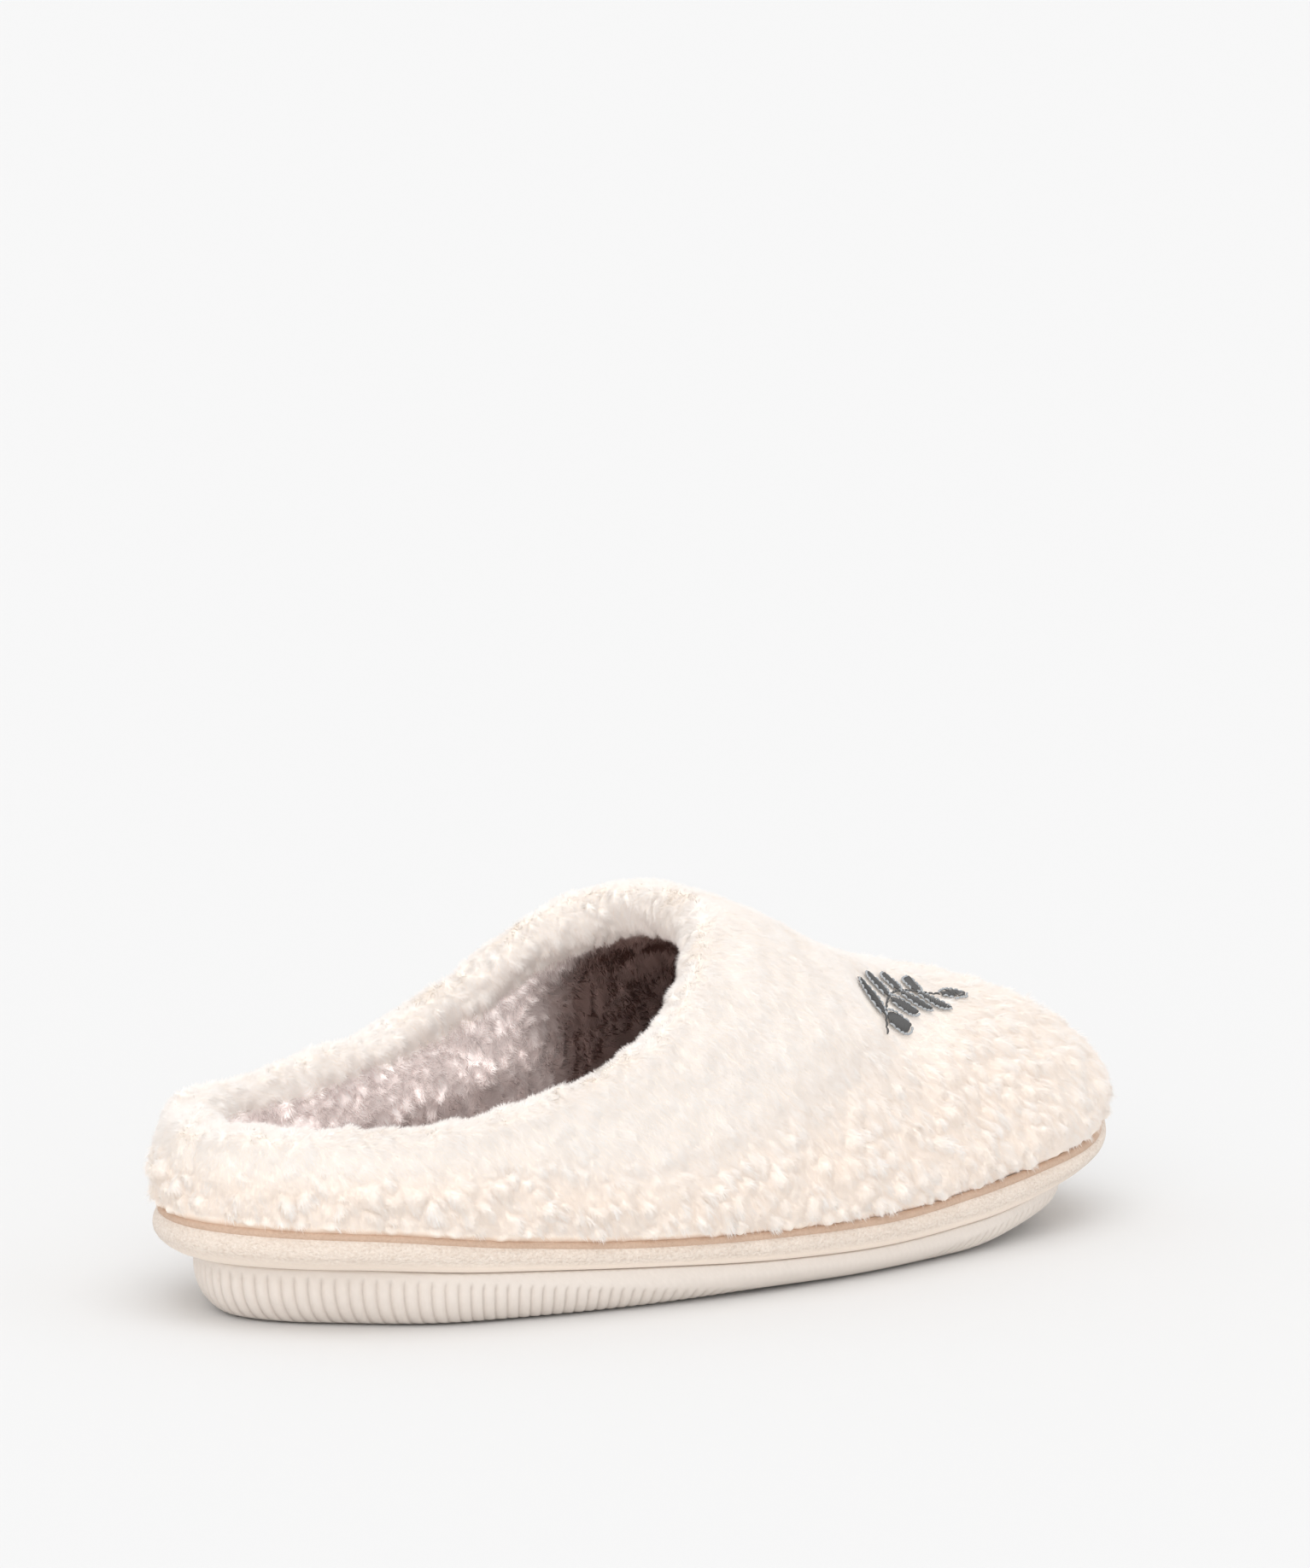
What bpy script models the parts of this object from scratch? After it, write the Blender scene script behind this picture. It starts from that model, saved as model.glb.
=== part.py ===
"""A scuff slipper for the right foot: a ribbed outsole, a cloth-wrapped footbed, a fleece upper
with a low heel collar and an open throat, and a plush insole.

Metres, +Z up, +X towards the toe, +Y towards the medial side, which is the wearer's left.
The origin is on the floor, under the middle of the slipper's length and width."""

import math

import bmesh
import bpy
import numpy as np

# Plan and height of the whole slipper.
LENGTH = 0.262  # the footbed's widest line, from heel to toe
BALL_WIDTH = 0.100  # the same line, across the ball
HEEL_HEIGHT = 0.0205  # floor to the crease between footbed and upper, under the heel
INSTEP_HEIGHT = 0.0670  # that crease to the last's ridge, at the throat
SEAM_GAP = 0.0003  # between two pieces that lie on each other

# Upper: fleece, backing, foam and lining as one wall.
WALL_BASE = 0.0055
WALL_THROAT = 0.0100  # the padded edge over the instep and along the sides
WALL_HEEL = 0.0135  # the padded edge behind the heel
PADDING_DEPTH = 0.0190  # how far down from the edge the padding reaches
HEEL_PADDING_END = 0.25  # station where the heel's thicker edge has faded out
CREASE_INSET = 0.0022  # the upper's lower edge lies this far inside the footbed's widest line
FLEECE_SWELL = 0.0034  # over the crease the fleece swells out by this much
SWELL_HEIGHT = 0.0085  # the fullest line's height above the crease
TOE_ROUND = 0.0420  # length over which the last rounds down at the toe
HEEL_ROUND = 0.0300  # the same behind the heel
SIDE_POWER = 2.4  # how square the last's cross-sections are at their sides
TOP_POWER = 2.0  # and over their tops
TOE_POWER = 2.2  # how full the toe box is, seen from the side

# Footbed.
WIDEST_SHARE = 0.55  # the rolled edge is widest at this share of its height

# Outsole.
SOLE_OVERHANG = 0.0088  # behind the heel the footbed stands out over the outsole by this much
SOLE_TUCK = 0.0078  # how far the side rolls under before it meets the floor
TUCK_TOP = 0.78  # the roll starts at this share of the side's height
RIB_PITCH = 0.0031
RIB_DEPTH = 0.0007
RIB_FADE = 0.18  # share of the side's height over which a rib's head fades out

# Insole.
INSOLE_THICKNESS = 0.0050
INSOLE_CLEARANCE = 0.0010  # from the insole's edge to the upper's wall
INSOLE_EDGE_ROUND = 0.0022

# Mesh counts.
COLUMNS = 84  # round the upper and the footbed
OUTER_ROWS = 15  # up the upper's outer face
OUTER_LEAN = 1.2  # draws them towards the seam
FOOT_ROWS = (0.0, 0.0015, 0.0040, 0.0080)  # the lowest of them, by their distance from the seam
RIM_ROWS = 4  # over its padded edge
INNER_ROWS = 10  # down its inner face
INNER_LEAN = 1.5  # draws them towards the seam
ROLL_ROWS = 3  # on each half of the footbed's rolled edge
INSOLE_COLUMNS = 56
SPLINE_STEPS = 60  # from one knot of a spline to the next
FINE_POINTS = 2400  # on the loops that are only measured
PATH_POINTS = 300  # on a plan path that is cut at the topline
SMOOTH_ANGLE = 50  # degrees between faces that are shaded as one surface

# The footbed's widest line: station along LENGTH, half-widths as shares of BALL_WIDTH.
PLAN_TABLE = (
    # station, lateral, medial
    (0.000, 0.000, 0.000),
    (0.030, 0.190, 0.190),
    (0.100, 0.335, 0.335),
    (0.200, 0.420, 0.390),
    (0.330, 0.480, 0.405),
    (0.470, 0.512, 0.430),
    (0.600, 0.505, 0.465),
    (0.700, 0.475, 0.485),
    (0.800, 0.430, 0.480),
    (0.880, 0.370, 0.430),
    (0.940, 0.280, 0.345),
    (0.985, 0.135, 0.205),
    (1.000, -0.030, 0.030),
)

# Side view: station, and shares of HEEL_HEIGHT.
SIDE_TABLE = (
    # station, underside, outsole_top, crease
    (0.00, 0.05, 0.62, 1.05),
    (0.08, 0.00, 0.62, 1.02),
    (0.20, 0.00, 0.56, 0.86),
    (0.34, 0.00, 0.46, 0.71),
    (0.48, 0.02, 0.36, 0.64),
    (0.60, 0.00, 0.32, 0.61),
    (0.72, 0.00, 0.37, 0.69),
    (0.82, 0.12, 0.48, 0.80),
    (0.91, 0.27, 0.62, 0.90),
    (1.00, 0.55, 0.84, 1.20),
)

# The last's ridge over the crease, as a share of INSTEP_HEIGHT. Under the open collar it stands
# for the foot, and only the part below the topline is made.
RIDGE_TABLE = (
    # station, ridge
    (0.00, 0.88),
    (0.30, 0.97),
    (0.50, 1.00),
    (0.57, 0.93),
    (0.65, 0.79),
    (0.73, 0.66),
    (0.82, 0.545),
    (0.90, 0.47),
    (1.00, 0.40),
)

# The topline: height of the upper's edge on the last, as a share of the ridge there.
TOPLINE_TABLE = (
    # station, lateral, medial
    (0.000, 0.27, 0.27),
    (0.110, 0.29, 0.29),
    (0.180, 0.34, 0.34),
    (0.250, 0.41, 0.41),
    (0.320, 0.50, 0.50),
    (0.380, 0.60, 0.63),
    (0.430, 0.73, 0.79),
    (0.470, 0.86, 0.90),
    (0.515, 1.00, 1.00),
)

# The upper's mesh columns run in plan from the seam towards the last's middle line.
SPINE_BACK = 0.16  # station that the heel's columns run towards
SPINE_FRONT = 0.40  # and the toe's, behind the throat
COLUMN_LEAN = 1.7  # spreads them between the two

# How far the footbed stands out over the outsole, as a share of SOLE_OVERHANG.
OVERHANG_TABLE = (
    # station, overhang
    (0.00, 1.00),
    (0.06, 0.98),
    (0.18, 0.34),
    (0.32, 0.26),
    (0.74, 0.26),
    (0.86, 0.55),
    (0.94, 1.20),
    (1.00, 1.40),
)

# Ribs on the outsole's side: their height as a share of the side's.
RIB_TABLE = (
    # station, height
    (0.00, 0.92),
    (0.15, 0.88),
    (0.30, 0.66),
    (0.42, 0.34),
    (0.52, 0.04),
    (0.62, 0.04),
    (0.70, 0.50),
    (0.80, 0.78),
    (0.90, 0.80),
    (0.97, 0.10),
    (1.00, 0.00),
)

# Rows of the outsole's side, as shares of its height.
SOLE_ROWS = (0.0, 0.09, 0.28, 0.56, 0.82, 1.0)

# The insole's edge: shares of INSOLE_THICKNESS and of INSOLE_EDGE_ROUND.
INSOLE_EDGE = (
    # height, inset
    (0.00, 0.40),
    (0.50, 0.00),
    (0.85, 0.30),
    (1.00, 1.00),
)

# Name: colour, roughness.
MATERIALS = {
    "outsole": ((0.78, 0.71, 0.66), 0.65),
    "footbed": ((0.86, 0.77, 0.68), 0.85),
    "upper": ((0.92, 0.87, 0.80), 0.95),
    "insole": ((0.47, 0.40, 0.40), 0.95),
}


def unit(vectors):
    return vectors / np.maximum(np.linalg.norm(vectors, axis=-1), 1e-12)[..., None]


def smooth_step(t):
    """Rises from 0 to 1, level at both ends."""
    t = np.clip(t, 0, 1)
    return t**2 * (3 - 2 * t)


def even_points(curve, shares):
    """Points along an open polyline, at the given shares of its length."""
    steps = np.linalg.norm(np.diff(curve, axis=0), axis=1)
    length = np.concatenate([[0], np.cumsum(steps)])
    return np.stack([np.interp(shares * length[-1], length, axis) for axis in curve.T], -1)


def table_curve(table, column, station):
    """A smooth curve through one column of a table, with no overshoot between its rows."""
    rows = np.array(table)
    x, y = rows[:, 0], rows[:, column]
    width, rise = np.diff(x), np.diff(y) / np.diff(x)
    before, after = width[:-1] + 2 * width[1:], 2 * width[:-1] + width[1:]
    slope = np.zeros(len(x))
    same_way = rise[:-1] * rise[1:] > 0
    safe = np.where(rise == 0, 1, rise)
    slope[1:-1] = np.where(same_way, (before + after) / (before / safe[:-1] + after / safe[1:]), 0)
    slope[0], slope[-1] = rise[0], rise[-1]
    at = np.clip(station, x[0], x[-1])
    i = np.clip(np.searchsorted(x, at, side="right") - 1, 0, len(width) - 1)
    t = (at - x[i]) / width[i]
    ends = y[i] * (1 + 2 * t) * (1 - t) ** 2 + y[i + 1] * t**2 * (3 - 2 * t)
    bends = slope[i] * t * (1 - t) ** 2 - slope[i + 1] * t**2 * (1 - t)
    return ends + bends * width[i]


def smooth_loop(knots, count):
    """count evenly spaced points on a closed cubic spline through the knots."""
    ahead = np.roll(knots, -1, 0)
    step = np.sqrt(np.linalg.norm(ahead - knots, axis=1))[:, None]
    system = np.diag(2 * (np.roll(step, 1) + step)[:, 0])
    for i in range(len(knots)):
        system[i, i - 1] += step[i - 1, 0]
        system[i, (i + 1) % len(knots)] += step[i, 0]
    slope = (ahead - knots) / step
    bend = np.linalg.solve(system, 6 * (slope - np.roll(slope, 1, 0)))
    t = np.linspace(0, 1, SPLINE_STEPS, endpoint=False)[None, :, None]
    line = knots[:, None] * (1 - t) + ahead[:, None] * t
    curl = ((1 - t) ** 3 - (1 - t)) * bend[:, None] + (t**3 - t) * np.roll(bend, -1, 0)[:, None]
    curve = (line + step[:, None] ** 2 / 6 * curl).reshape(-1, 2)
    return even_points(np.vstack([curve, curve[:1]]), np.arange(count) / count)


def footbed_plan():
    """The footbed's widest line, from the heel's middle along the lateral side, the toe and back."""
    rows = np.array(PLAN_TABLE)
    x = (rows[:, 0] - 0.5) * LENGTH
    lateral = np.stack([x, -rows[:, 1] * BALL_WIDTH], -1)
    medial = np.stack([x, rows[:, 2] * BALL_WIDTH], -1)
    return smooth_loop(np.vstack([lateral, medial[-2:0:-1]]), FINE_POINTS)


def inwards(loop):
    """Unit vectors that point into a plan loop."""
    along = unit(np.roll(loop, -1, 0) - np.roll(loop, 1, 0))
    return np.stack([-along[:, 1], along[:, 0]], -1)


def moved_in(loop, distance):
    """A plan loop moved inwards by a distance, which may change along it."""
    return loop + inwards(loop) * np.broadcast_to(distance, len(loop))[:, None]


def sides(loop):
    """A fine plan loop as its lateral and its medial side, each from the heel to the toe."""
    ring = np.roll(loop, -int(np.argmin(loop[:, 0])), 0)
    toe = int(np.argmax(ring[:, 0]))
    return ring[: toe + 1], np.vstack([ring[toe:], ring[:1]])[::-1]


def half_lines(loop, x):
    """The y of a loop's lateral and medial side at x."""
    return [np.interp(x, *side.T) for side in sides(loop)]


def paired_loop(loop, count):
    """A fine loop as count points, evenly spaced, in pairs that lie straight across the shoe."""
    lateral, medial = sides(loop)
    x = np.union1d(lateral[:, 0], medial[:, 0])
    run = [np.hypot(np.diff(x), np.diff(np.interp(x, *side.T))) for side in (lateral, medial)]
    length = np.concatenate([[0], np.cumsum(run[0] + run[1])])
    pairs = np.interp(np.linspace(0, length[-1], count // 2 + 1), length, x)
    low, high = (np.stack([pairs, np.interp(pairs, *side.T)], -1) for side in (lateral, medial))
    return np.vstack([low, high[-2:0:-1]])


def station(x):
    return x / LENGTH + 0.5


def underside(x):
    return HEEL_HEIGHT * table_curve(SIDE_TABLE, 1, station(x))


def outsole_top(x):
    return HEEL_HEIGHT * table_curve(SIDE_TABLE, 2, station(x))


def crease_height(x):
    return HEEL_HEIGHT * table_curve(SIDE_TABLE, 3, station(x))


def sole_inset(x):
    """How far the outsole's upper edge lies inside the footbed's widest line."""
    return SOLE_OVERHANG * table_curve(OVERHANG_TABLE, 1, station(x))


def at_height(loop, z):
    return np.column_stack([loop, np.broadcast_to(z, len(loop))])


def last_shape(x, y, seam):
    """The last's height over the crease, as a share of its ridge: 1 on the ridge, 0 at the seam."""
    lateral, medial = half_lines(seam, x)
    middle, half = (lateral + medial) / 2, np.maximum((medial - lateral) / 2, 1e-6)
    across = np.clip(np.abs(y - middle) / half, 0, 1)
    toe, heel = seam[:, 0].max(), seam[:, 0].min()
    over_toe = np.clip((x - toe + TOE_ROUND) / TOE_ROUND, 0, 1)
    over_heel = np.clip((heel + HEEL_ROUND - x) / HEEL_ROUND, 0, 1)
    section = (1 - across**SIDE_POWER) ** (1 / TOP_POWER)
    return section * (1 - over_toe**TOE_POWER) ** (1 / 2) * np.sqrt(1 - over_heel**2)


def ridge_height(x):
    return INSTEP_HEIGHT * table_curve(RIDGE_TABLE, 1, station(x))


def path_to_topline(start, target, seam):
    """The last's surface above a straight plan path, from the seam up to the topline."""
    share = np.linspace(0, 1, PATH_POINTS)[:, None] ** 2
    plan = start + (target - start) * share
    x, y = plan.T
    shape = last_shape(x, y, seam)
    shape[0] = 0
    surface = np.column_stack([plan, crease_height(x) + SEAM_GAP + ridge_height(x) * shape])
    side = 1 if start[1] < target[1] else 2
    past_throat = np.maximum(station(x) - TOPLINE_TABLE[-1][0], 0)
    over = shape - table_curve(TOPLINE_TABLE, side, station(x)) - past_throat
    end = int(np.argmax(over >= 0))
    cut = over[end - 1] / (over[end - 1] - over[end])
    last_point = surface[end - 1] + (surface[end] - surface[end - 1]) * cut
    return np.vstack([surface[:end], last_point])


def outer_face():
    """The upper's outer face as a grid of points: rows up from the seam, columns round it."""
    fine_seam = moved_in(footbed_plan(), CREASE_INSET)
    seam = paired_loop(fine_seam, COLUMNS)
    heel, toe = fine_seam[:, 0].min(), fine_seam[:, 0].max()
    share = np.clip((seam[:, 0] - heel) / (toe - heel), 0, 1)
    spine = SPINE_BACK + (SPINE_FRONT - SPINE_BACK) * (1 - (1 - share) ** COLUMN_LEAN)
    x = (spine - 0.5) * LENGTH
    middle = sum(half_lines(fine_seam, x)) / 2
    grid = np.empty((OUTER_ROWS, COLUMNS, 3))
    for i in range(COLUMNS):
        surface = path_to_topline(seam[i], np.array([x[i], middle[i]]), fine_seam)
        length = np.linalg.norm(np.diff(surface, axis=0), axis=1).sum()
        foot = np.array(FOOT_ROWS) / length
        rest = np.linspace(0, 1, OUTER_ROWS - len(foot) + 1)[1:] ** OUTER_LEAN
        shares = np.concatenate([foot, foot[-1] + (1 - foot[-1]) * rest])
        grid[:, i] = even_points(surface, shares)
    lift = (grid[..., 2] - crease_height(grid[..., 0]) - SEAM_GAP) / SWELL_HEIGHT
    rising = np.sqrt(1 - (1 - np.clip(lift, 0, 1)) ** 2)
    falling = 1 / (1 + np.maximum(lift - 1, 0) ** 2)
    grid[..., :2] -= inwards(seam) * (FLEECE_SWELL * rising * falling)[..., None]
    return grid


def upper_rings():
    """The upper's wall as rings: up its outer face, over the padded edge, down its inner face."""
    outer = outer_face()
    up = unit(np.gradient(outer, axis=0))
    along = unit(np.roll(outer, -1, 1) - np.roll(outer, 1, 1))
    normal = unit(np.cross(along, up))
    steps = np.linalg.norm(np.diff(outer, axis=0), axis=2)
    from_edge = np.zeros(outer.shape[:2])
    from_edge[:-1] = np.cumsum(steps[::-1], axis=0)[::-1]
    padding = smooth_step(1 - from_edge / PADDING_DEPTH)
    heel_padding = smooth_step(1 - station(outer[..., 0]) / HEEL_PADDING_END)
    edge = WALL_THROAT + (WALL_HEEL - WALL_THROAT) * heel_padding
    wall = (WALL_BASE + (edge - WALL_BASE) * padding)[..., None]
    inner = (outer - normal * wall)[len(FOOT_ROWS) - 1 :]
    inner[0] = outer[0]
    inner[0, :, :2] = moved_in(outer[0, :, :2], WALL_BASE)
    inner[0, :, 2] = crease_height(inner[0, :, 0]) + SEAM_GAP
    radius = wall[-1] / 2
    middle = outer[-1] - normal[-1] * radius
    turns = np.linspace(0, math.pi, RIM_ROWS + 2)[1:-1]
    rim = [middle + (normal[-1] * math.cos(a) + up[-1] * math.sin(a)) * radius for a in turns]
    shares = np.linspace(1, 0, INNER_ROWS) ** INNER_LEAN
    inner = np.stack([even_points(inner[:, i], shares) for i in range(COLUMNS)], axis=1)
    return [*outer, *rim, *inner]


def footbed_rings():
    """The wrapped footbed's rolled edge, from its underside to the crease."""
    plan = footbed_plan()
    rings = []
    for turn in np.linspace(-math.pi / 2, math.pi / 2, 2 * ROLL_ROWS + 1):
        reach, rise = 1 - math.cos(turn), math.sin(turn)
        inset = reach * (sole_inset(plan[:, 0]) if turn < 0 else CREASE_INSET)
        loop = paired_loop(moved_in(plan, inset), COLUMNS)
        bottom, top = outsole_top(loop[:, 0]) + SEAM_GAP, crease_height(loop[:, 0])
        widest = bottom + (top - bottom) * WIDEST_SHARE
        z = widest + rise * ((widest - bottom) if turn < 0 else (top - widest))
        rings.append(at_height(loop, z))
    return rings


def outsole_rings():
    """The outsole's side, from the floor to its upper edge, with a rib at every second column."""
    plan = footbed_plan()
    perimeter = np.linalg.norm(np.roll(plan, -1, 0) - plan, axis=1).sum()
    columns = 4 * round(perimeter / RIB_PITCH / 2)
    rings = []
    for row in SOLE_ROWS:
        tuck = SOLE_TUCK * (1 - math.sqrt(1 - max(0, 1 - row / TUCK_TOP) ** 2))
        loop = paired_loop(moved_in(plan, sole_inset(plan[:, 0]) + tuck), columns)
        rib_height = table_curve(RIB_TABLE, 1, station(loop[:, 0]))
        ribbed = np.clip((rib_height - row) / RIB_FADE, 0, 1)
        groove = RIB_DEPTH * (np.arange(columns) % 2)
        x = loop[:, 0]
        z = underside(x) + (outsole_top(x) - underside(x)) * row
        rings.append(at_height(moved_in(loop, groove * ribbed), z))
    return rings


def insole_rings():
    """The insole's edge, inside the upper's wall."""
    plan = footbed_plan()
    wall = CREASE_INSET + WALL_BASE + INSOLE_CLEARANCE
    rings = []
    for height, inset in INSOLE_EDGE:
        loop = paired_loop(moved_in(plan, wall + inset * INSOLE_EDGE_ROUND), INSOLE_COLUMNS)
        z = crease_height(loop[:, 0]) + SEAM_GAP + height * INSOLE_THICKNESS
        rings.append(at_height(loop, z))
    return rings


def side_faces(rows, columns, closed):
    """Quads between neighbouring rings, and between the last and the first if closed."""
    faces = []
    for row in range(rows if closed else rows - 1):
        low, high = row * columns, (row + 1) % rows * columns
        for i in range(columns):
            j = (i + 1) % columns
            faces.append((low + i, low + j, high + j, high + i))
    return faces


def cap_faces(first, columns):
    """Strips from the lateral to the medial side of the ring that starts at a vertex number."""
    faces = [(first, first + 1, first + columns - 1)]
    for i in range(1, columns // 2 - 1):
        faces.append((first + i, first + i + 1, first + columns - i - 1, first + columns - i))
    toe = columns // 2
    faces.append((first + toe - 1, first + toe, first + toe + 1))
    return faces


def add_piece(name, rings, closed, collection):
    rows, columns = len(rings), len(rings[0])
    faces = side_faces(rows, columns, closed)
    if not closed:
        faces += [face[::-1] for face in cap_faces(0, columns)]
        faces += cap_faces((rows - 1) * columns, columns)
    mesh = bpy.data.meshes.new(name)
    mesh.from_pydata(np.vstack(rings).tolist(), [], faces)
    shell = bmesh.new()
    shell.from_mesh(mesh)
    bmesh.ops.triangulate(shell, faces=shell.faces, quad_method="SHORT_EDGE")
    bmesh.ops.recalc_face_normals(shell, faces=shell.faces)
    shell.to_mesh(mesh)
    shell.free()
    mesh.shade_smooth()
    mesh.set_sharp_from_angle(angle=math.radians(SMOOTH_ANGLE))
    colour, roughness = MATERIALS[name]
    material = bpy.data.materials.new(name)
    material.use_nodes = True
    shader = material.node_tree.nodes["Principled BSDF"]
    shader.inputs["Base Color"].default_value = (*colour, 1)
    shader.inputs["Roughness"].default_value = roughness
    shader.inputs["Metallic"].default_value = 0
    mesh.materials.append(material)
    piece = bpy.data.objects.new(name, mesh)
    collection.objects.link(piece)
    return piece


def main():
    for old in list(bpy.data.objects):
        bpy.data.objects.remove(old)
    slipper = bpy.data.collections.new("scuff_slipper")
    bpy.context.scene.collection.children.link(slipper)
    upper = upper_rings()
    pieces = (
        add_piece("outsole", outsole_rings(), False, slipper),
        add_piece("footbed", footbed_rings(), False, slipper),
        add_piece("upper", upper, True, slipper),
        add_piece("insole", insole_rings(), False, slipper),
    )
    plan = np.vstack([*upper, at_height(footbed_plan(), 0)])[:, :2]
    middle = (plan.min(axis=0) + plan.max(axis=0)) / 2
    for piece in pieces:
        piece.location = (-middle[0], -middle[1], 0)


main()
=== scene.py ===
# %% [markdown]
# A scuff slipper in cream fleece.
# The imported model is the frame: it gives every piece its size and place. This file makes the looks
# round it. The slipper is soft, so its surface is pile, knit and plush, and only the sole is moulded.

import math

import bpy
import numpy as np
from mathutils import Matrix, Vector, noise


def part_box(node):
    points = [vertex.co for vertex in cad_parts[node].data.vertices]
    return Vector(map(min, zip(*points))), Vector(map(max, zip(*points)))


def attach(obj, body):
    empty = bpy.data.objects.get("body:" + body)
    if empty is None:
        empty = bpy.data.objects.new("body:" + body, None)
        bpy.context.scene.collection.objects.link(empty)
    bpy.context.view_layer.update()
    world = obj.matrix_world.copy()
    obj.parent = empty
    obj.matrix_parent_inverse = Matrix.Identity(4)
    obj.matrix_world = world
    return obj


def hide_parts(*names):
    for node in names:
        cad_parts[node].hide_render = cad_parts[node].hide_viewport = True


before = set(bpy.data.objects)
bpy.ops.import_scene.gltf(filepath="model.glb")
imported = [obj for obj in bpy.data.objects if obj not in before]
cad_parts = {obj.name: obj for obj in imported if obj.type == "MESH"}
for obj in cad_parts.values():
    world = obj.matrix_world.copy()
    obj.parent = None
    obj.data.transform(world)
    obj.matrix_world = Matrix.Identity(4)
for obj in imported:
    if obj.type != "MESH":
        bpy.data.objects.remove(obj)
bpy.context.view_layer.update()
scene = bpy.context.scene
scene.view_settings.view_transform = "Standard"
NOISE_SEED = 4
noise.seed_set(NOISE_SEED)

# %% [markdown]
# The camera stands 3.6 m off, behind the heel's outer corner and 0.7 m above the floor, with a long
# lens. Its turn, height and roll were found by laying the model's outline over the photograph.

# %% The camera
PHOTO_WIDTH, PHOTO_HEIGHT = 1534, 1836
VIEW_TURN = math.radians(45.127)
VIEW_TILT = math.radians(9.325)
VIEW_ROLL = math.radians(1.795)
VIEW_DISTANCE = 3.636
PIXELS_PER_METRE = 5505
FOCAL_PIXELS = PIXELS_PER_METRE * VIEW_DISTANCE
AIM = Vector((0.0003, 0.0015, 0.030))
AIM_PIXEL = (747.07, 1308.53)
SENSOR = 36
FAR_CLIP = 100

across = Vector((math.cos(VIEW_TURN), -math.sin(VIEW_TURN), 0))
ahead = Vector(
    (
        math.sin(VIEW_TURN) * math.cos(VIEW_TILT),
        math.cos(VIEW_TURN) * math.cos(VIEW_TILT),
        -math.sin(VIEW_TILT),
    )
)
upward = across.cross(ahead)
right = across * math.cos(VIEW_ROLL) + upward * math.sin(VIEW_ROLL)
top = upward * math.cos(VIEW_ROLL) - across * math.sin(VIEW_ROLL)
per_pixel = VIEW_DISTANCE / FOCAL_PIXELS
eye = AIM - ahead * VIEW_DISTANCE
eye -= right * (AIM_PIXEL[0] - PHOTO_WIDTH / 2) * per_pixel
eye += top * (AIM_PIXEL[1] - PHOTO_HEIGHT / 2) * per_pixel

bpy.ops.object.camera_add()
camera = bpy.context.object
camera.name = "photo_camera"
turn = Matrix((right, top, -ahead)).transposed()
camera.matrix_world = Matrix.Translation(eye) @ turn.to_4x4()
camera.data.sensor_fit = "VERTICAL"
camera.data.sensor_height = SENSOR
camera.data.lens = FOCAL_PIXELS / PHOTO_HEIGHT * SENSOR
camera.data.clip_end = FAR_CLIP
scene.camera = camera
print("the camera stands at", eye)

# %% [markdown]
# Materials are made of nodes. A node's output is wrapped in a small class, so that patterns can be
# added and multiplied as numbers are, and one method makes every node.


# %% Node helpers
MILLIMETRES = 1000
MIX_COLOURS, MIX_RESULT = (6, 7), 2


class Wire:
    """A node's output that takes part in sums."""

    def __init__(self, finish, socket):
        self.finish, self.socket = finish, socket

    def maths(self, operation, *values):
        return self.finish.node("ShaderNodeMath", {"operation": operation}, *values)

    def __add__(self, other):
        return self.maths("ADD", self, other)

    def __sub__(self, other):
        return self.maths("SUBTRACT", self, other)

    def __rsub__(self, other):
        return self.maths("SUBTRACT", other, self)

    def __mul__(self, other):
        return self.maths("MULTIPLY", self, other)

    def clamped(self):
        return self.finish.node("ShaderNodeClamp", {}, self)


class Finish:
    """One material. What is the same all over is set on the shader's own sockets."""

    def __init__(self, name, colour, **plain):
        self.material = bpy.data.materials.new(name)
        self.material.use_nodes = True
        self.tree = self.material.node_tree
        self.shader = self.tree.nodes["Principled BSDF"]
        plain = {"Base Color": (*colour, 1), **plain}
        for key, value in plain.items():
            self.shader.inputs[key.replace("_", " ")].default_value = value

    def node(self, kind, settings, *inputs, output=0, **named):
        node = self.tree.nodes.new(kind)
        for key, value in settings.items():
            setattr(node, key, value)
        for key, value in [*enumerate(inputs), *named.items()]:
            self.put(node.inputs[key], value)
        return Wire(self, node.outputs[output])

    def put(self, socket, value):
        if isinstance(value, Wire):
            self.tree.links.new(value.socket, socket)
        else:
            socket.default_value = value

    def drive(self, key, value):
        self.put(self.shader.inputs[key], value)

    def places(self, scale=(1, 1, 1), turn=(0, 0, 0)):
        """Object coordinates in millimetres, stretched and turned."""
        where = self.node("ShaderNodeTexCoord", {}, output="Object")
        size = [MILLIMETRES * s for s in scale]
        return self.node("ShaderNodeMapping", {}, where, Rotation=turn, Scale=size)

    def attribute(self, name):
        return self.node("ShaderNodeAttribute", {"attribute_name": name}, output="Fac")

    def noise(self, where, scale, detail=2.0):
        return self.node("ShaderNodeTexNoise", {}, where, Scale=scale, Detail=detail)

    def blend(self, share, first, second):
        """A colour between two others. A mix node's colour sockets are known by their numbers."""
        mix = self.node("ShaderNodeMix", {"data_type": "RGBA"}, share, output=MIX_RESULT)
        for key, colour in zip(MIX_COLOURS, (first, second)):
            colour = colour if isinstance(colour, Wire) else (*colour, 1)
            self.put(mix.socket.node.inputs[key], colour)
        return mix

    def bump(self, height, distance, strength=1.0):
        bump = self.node("ShaderNodeBump", {}, Height=height, Distance=distance, Strength=strength)
        self.drive("Normal", bump)


# %% [markdown]
# Every piece of a shoe is cut and sewn over a last, the wooden foot that gives it its form. These
# tables are that last: its outline from above, its heights from the side, and the line where the
# upper ends. They hold shares of the slipper's own sizes.

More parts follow.
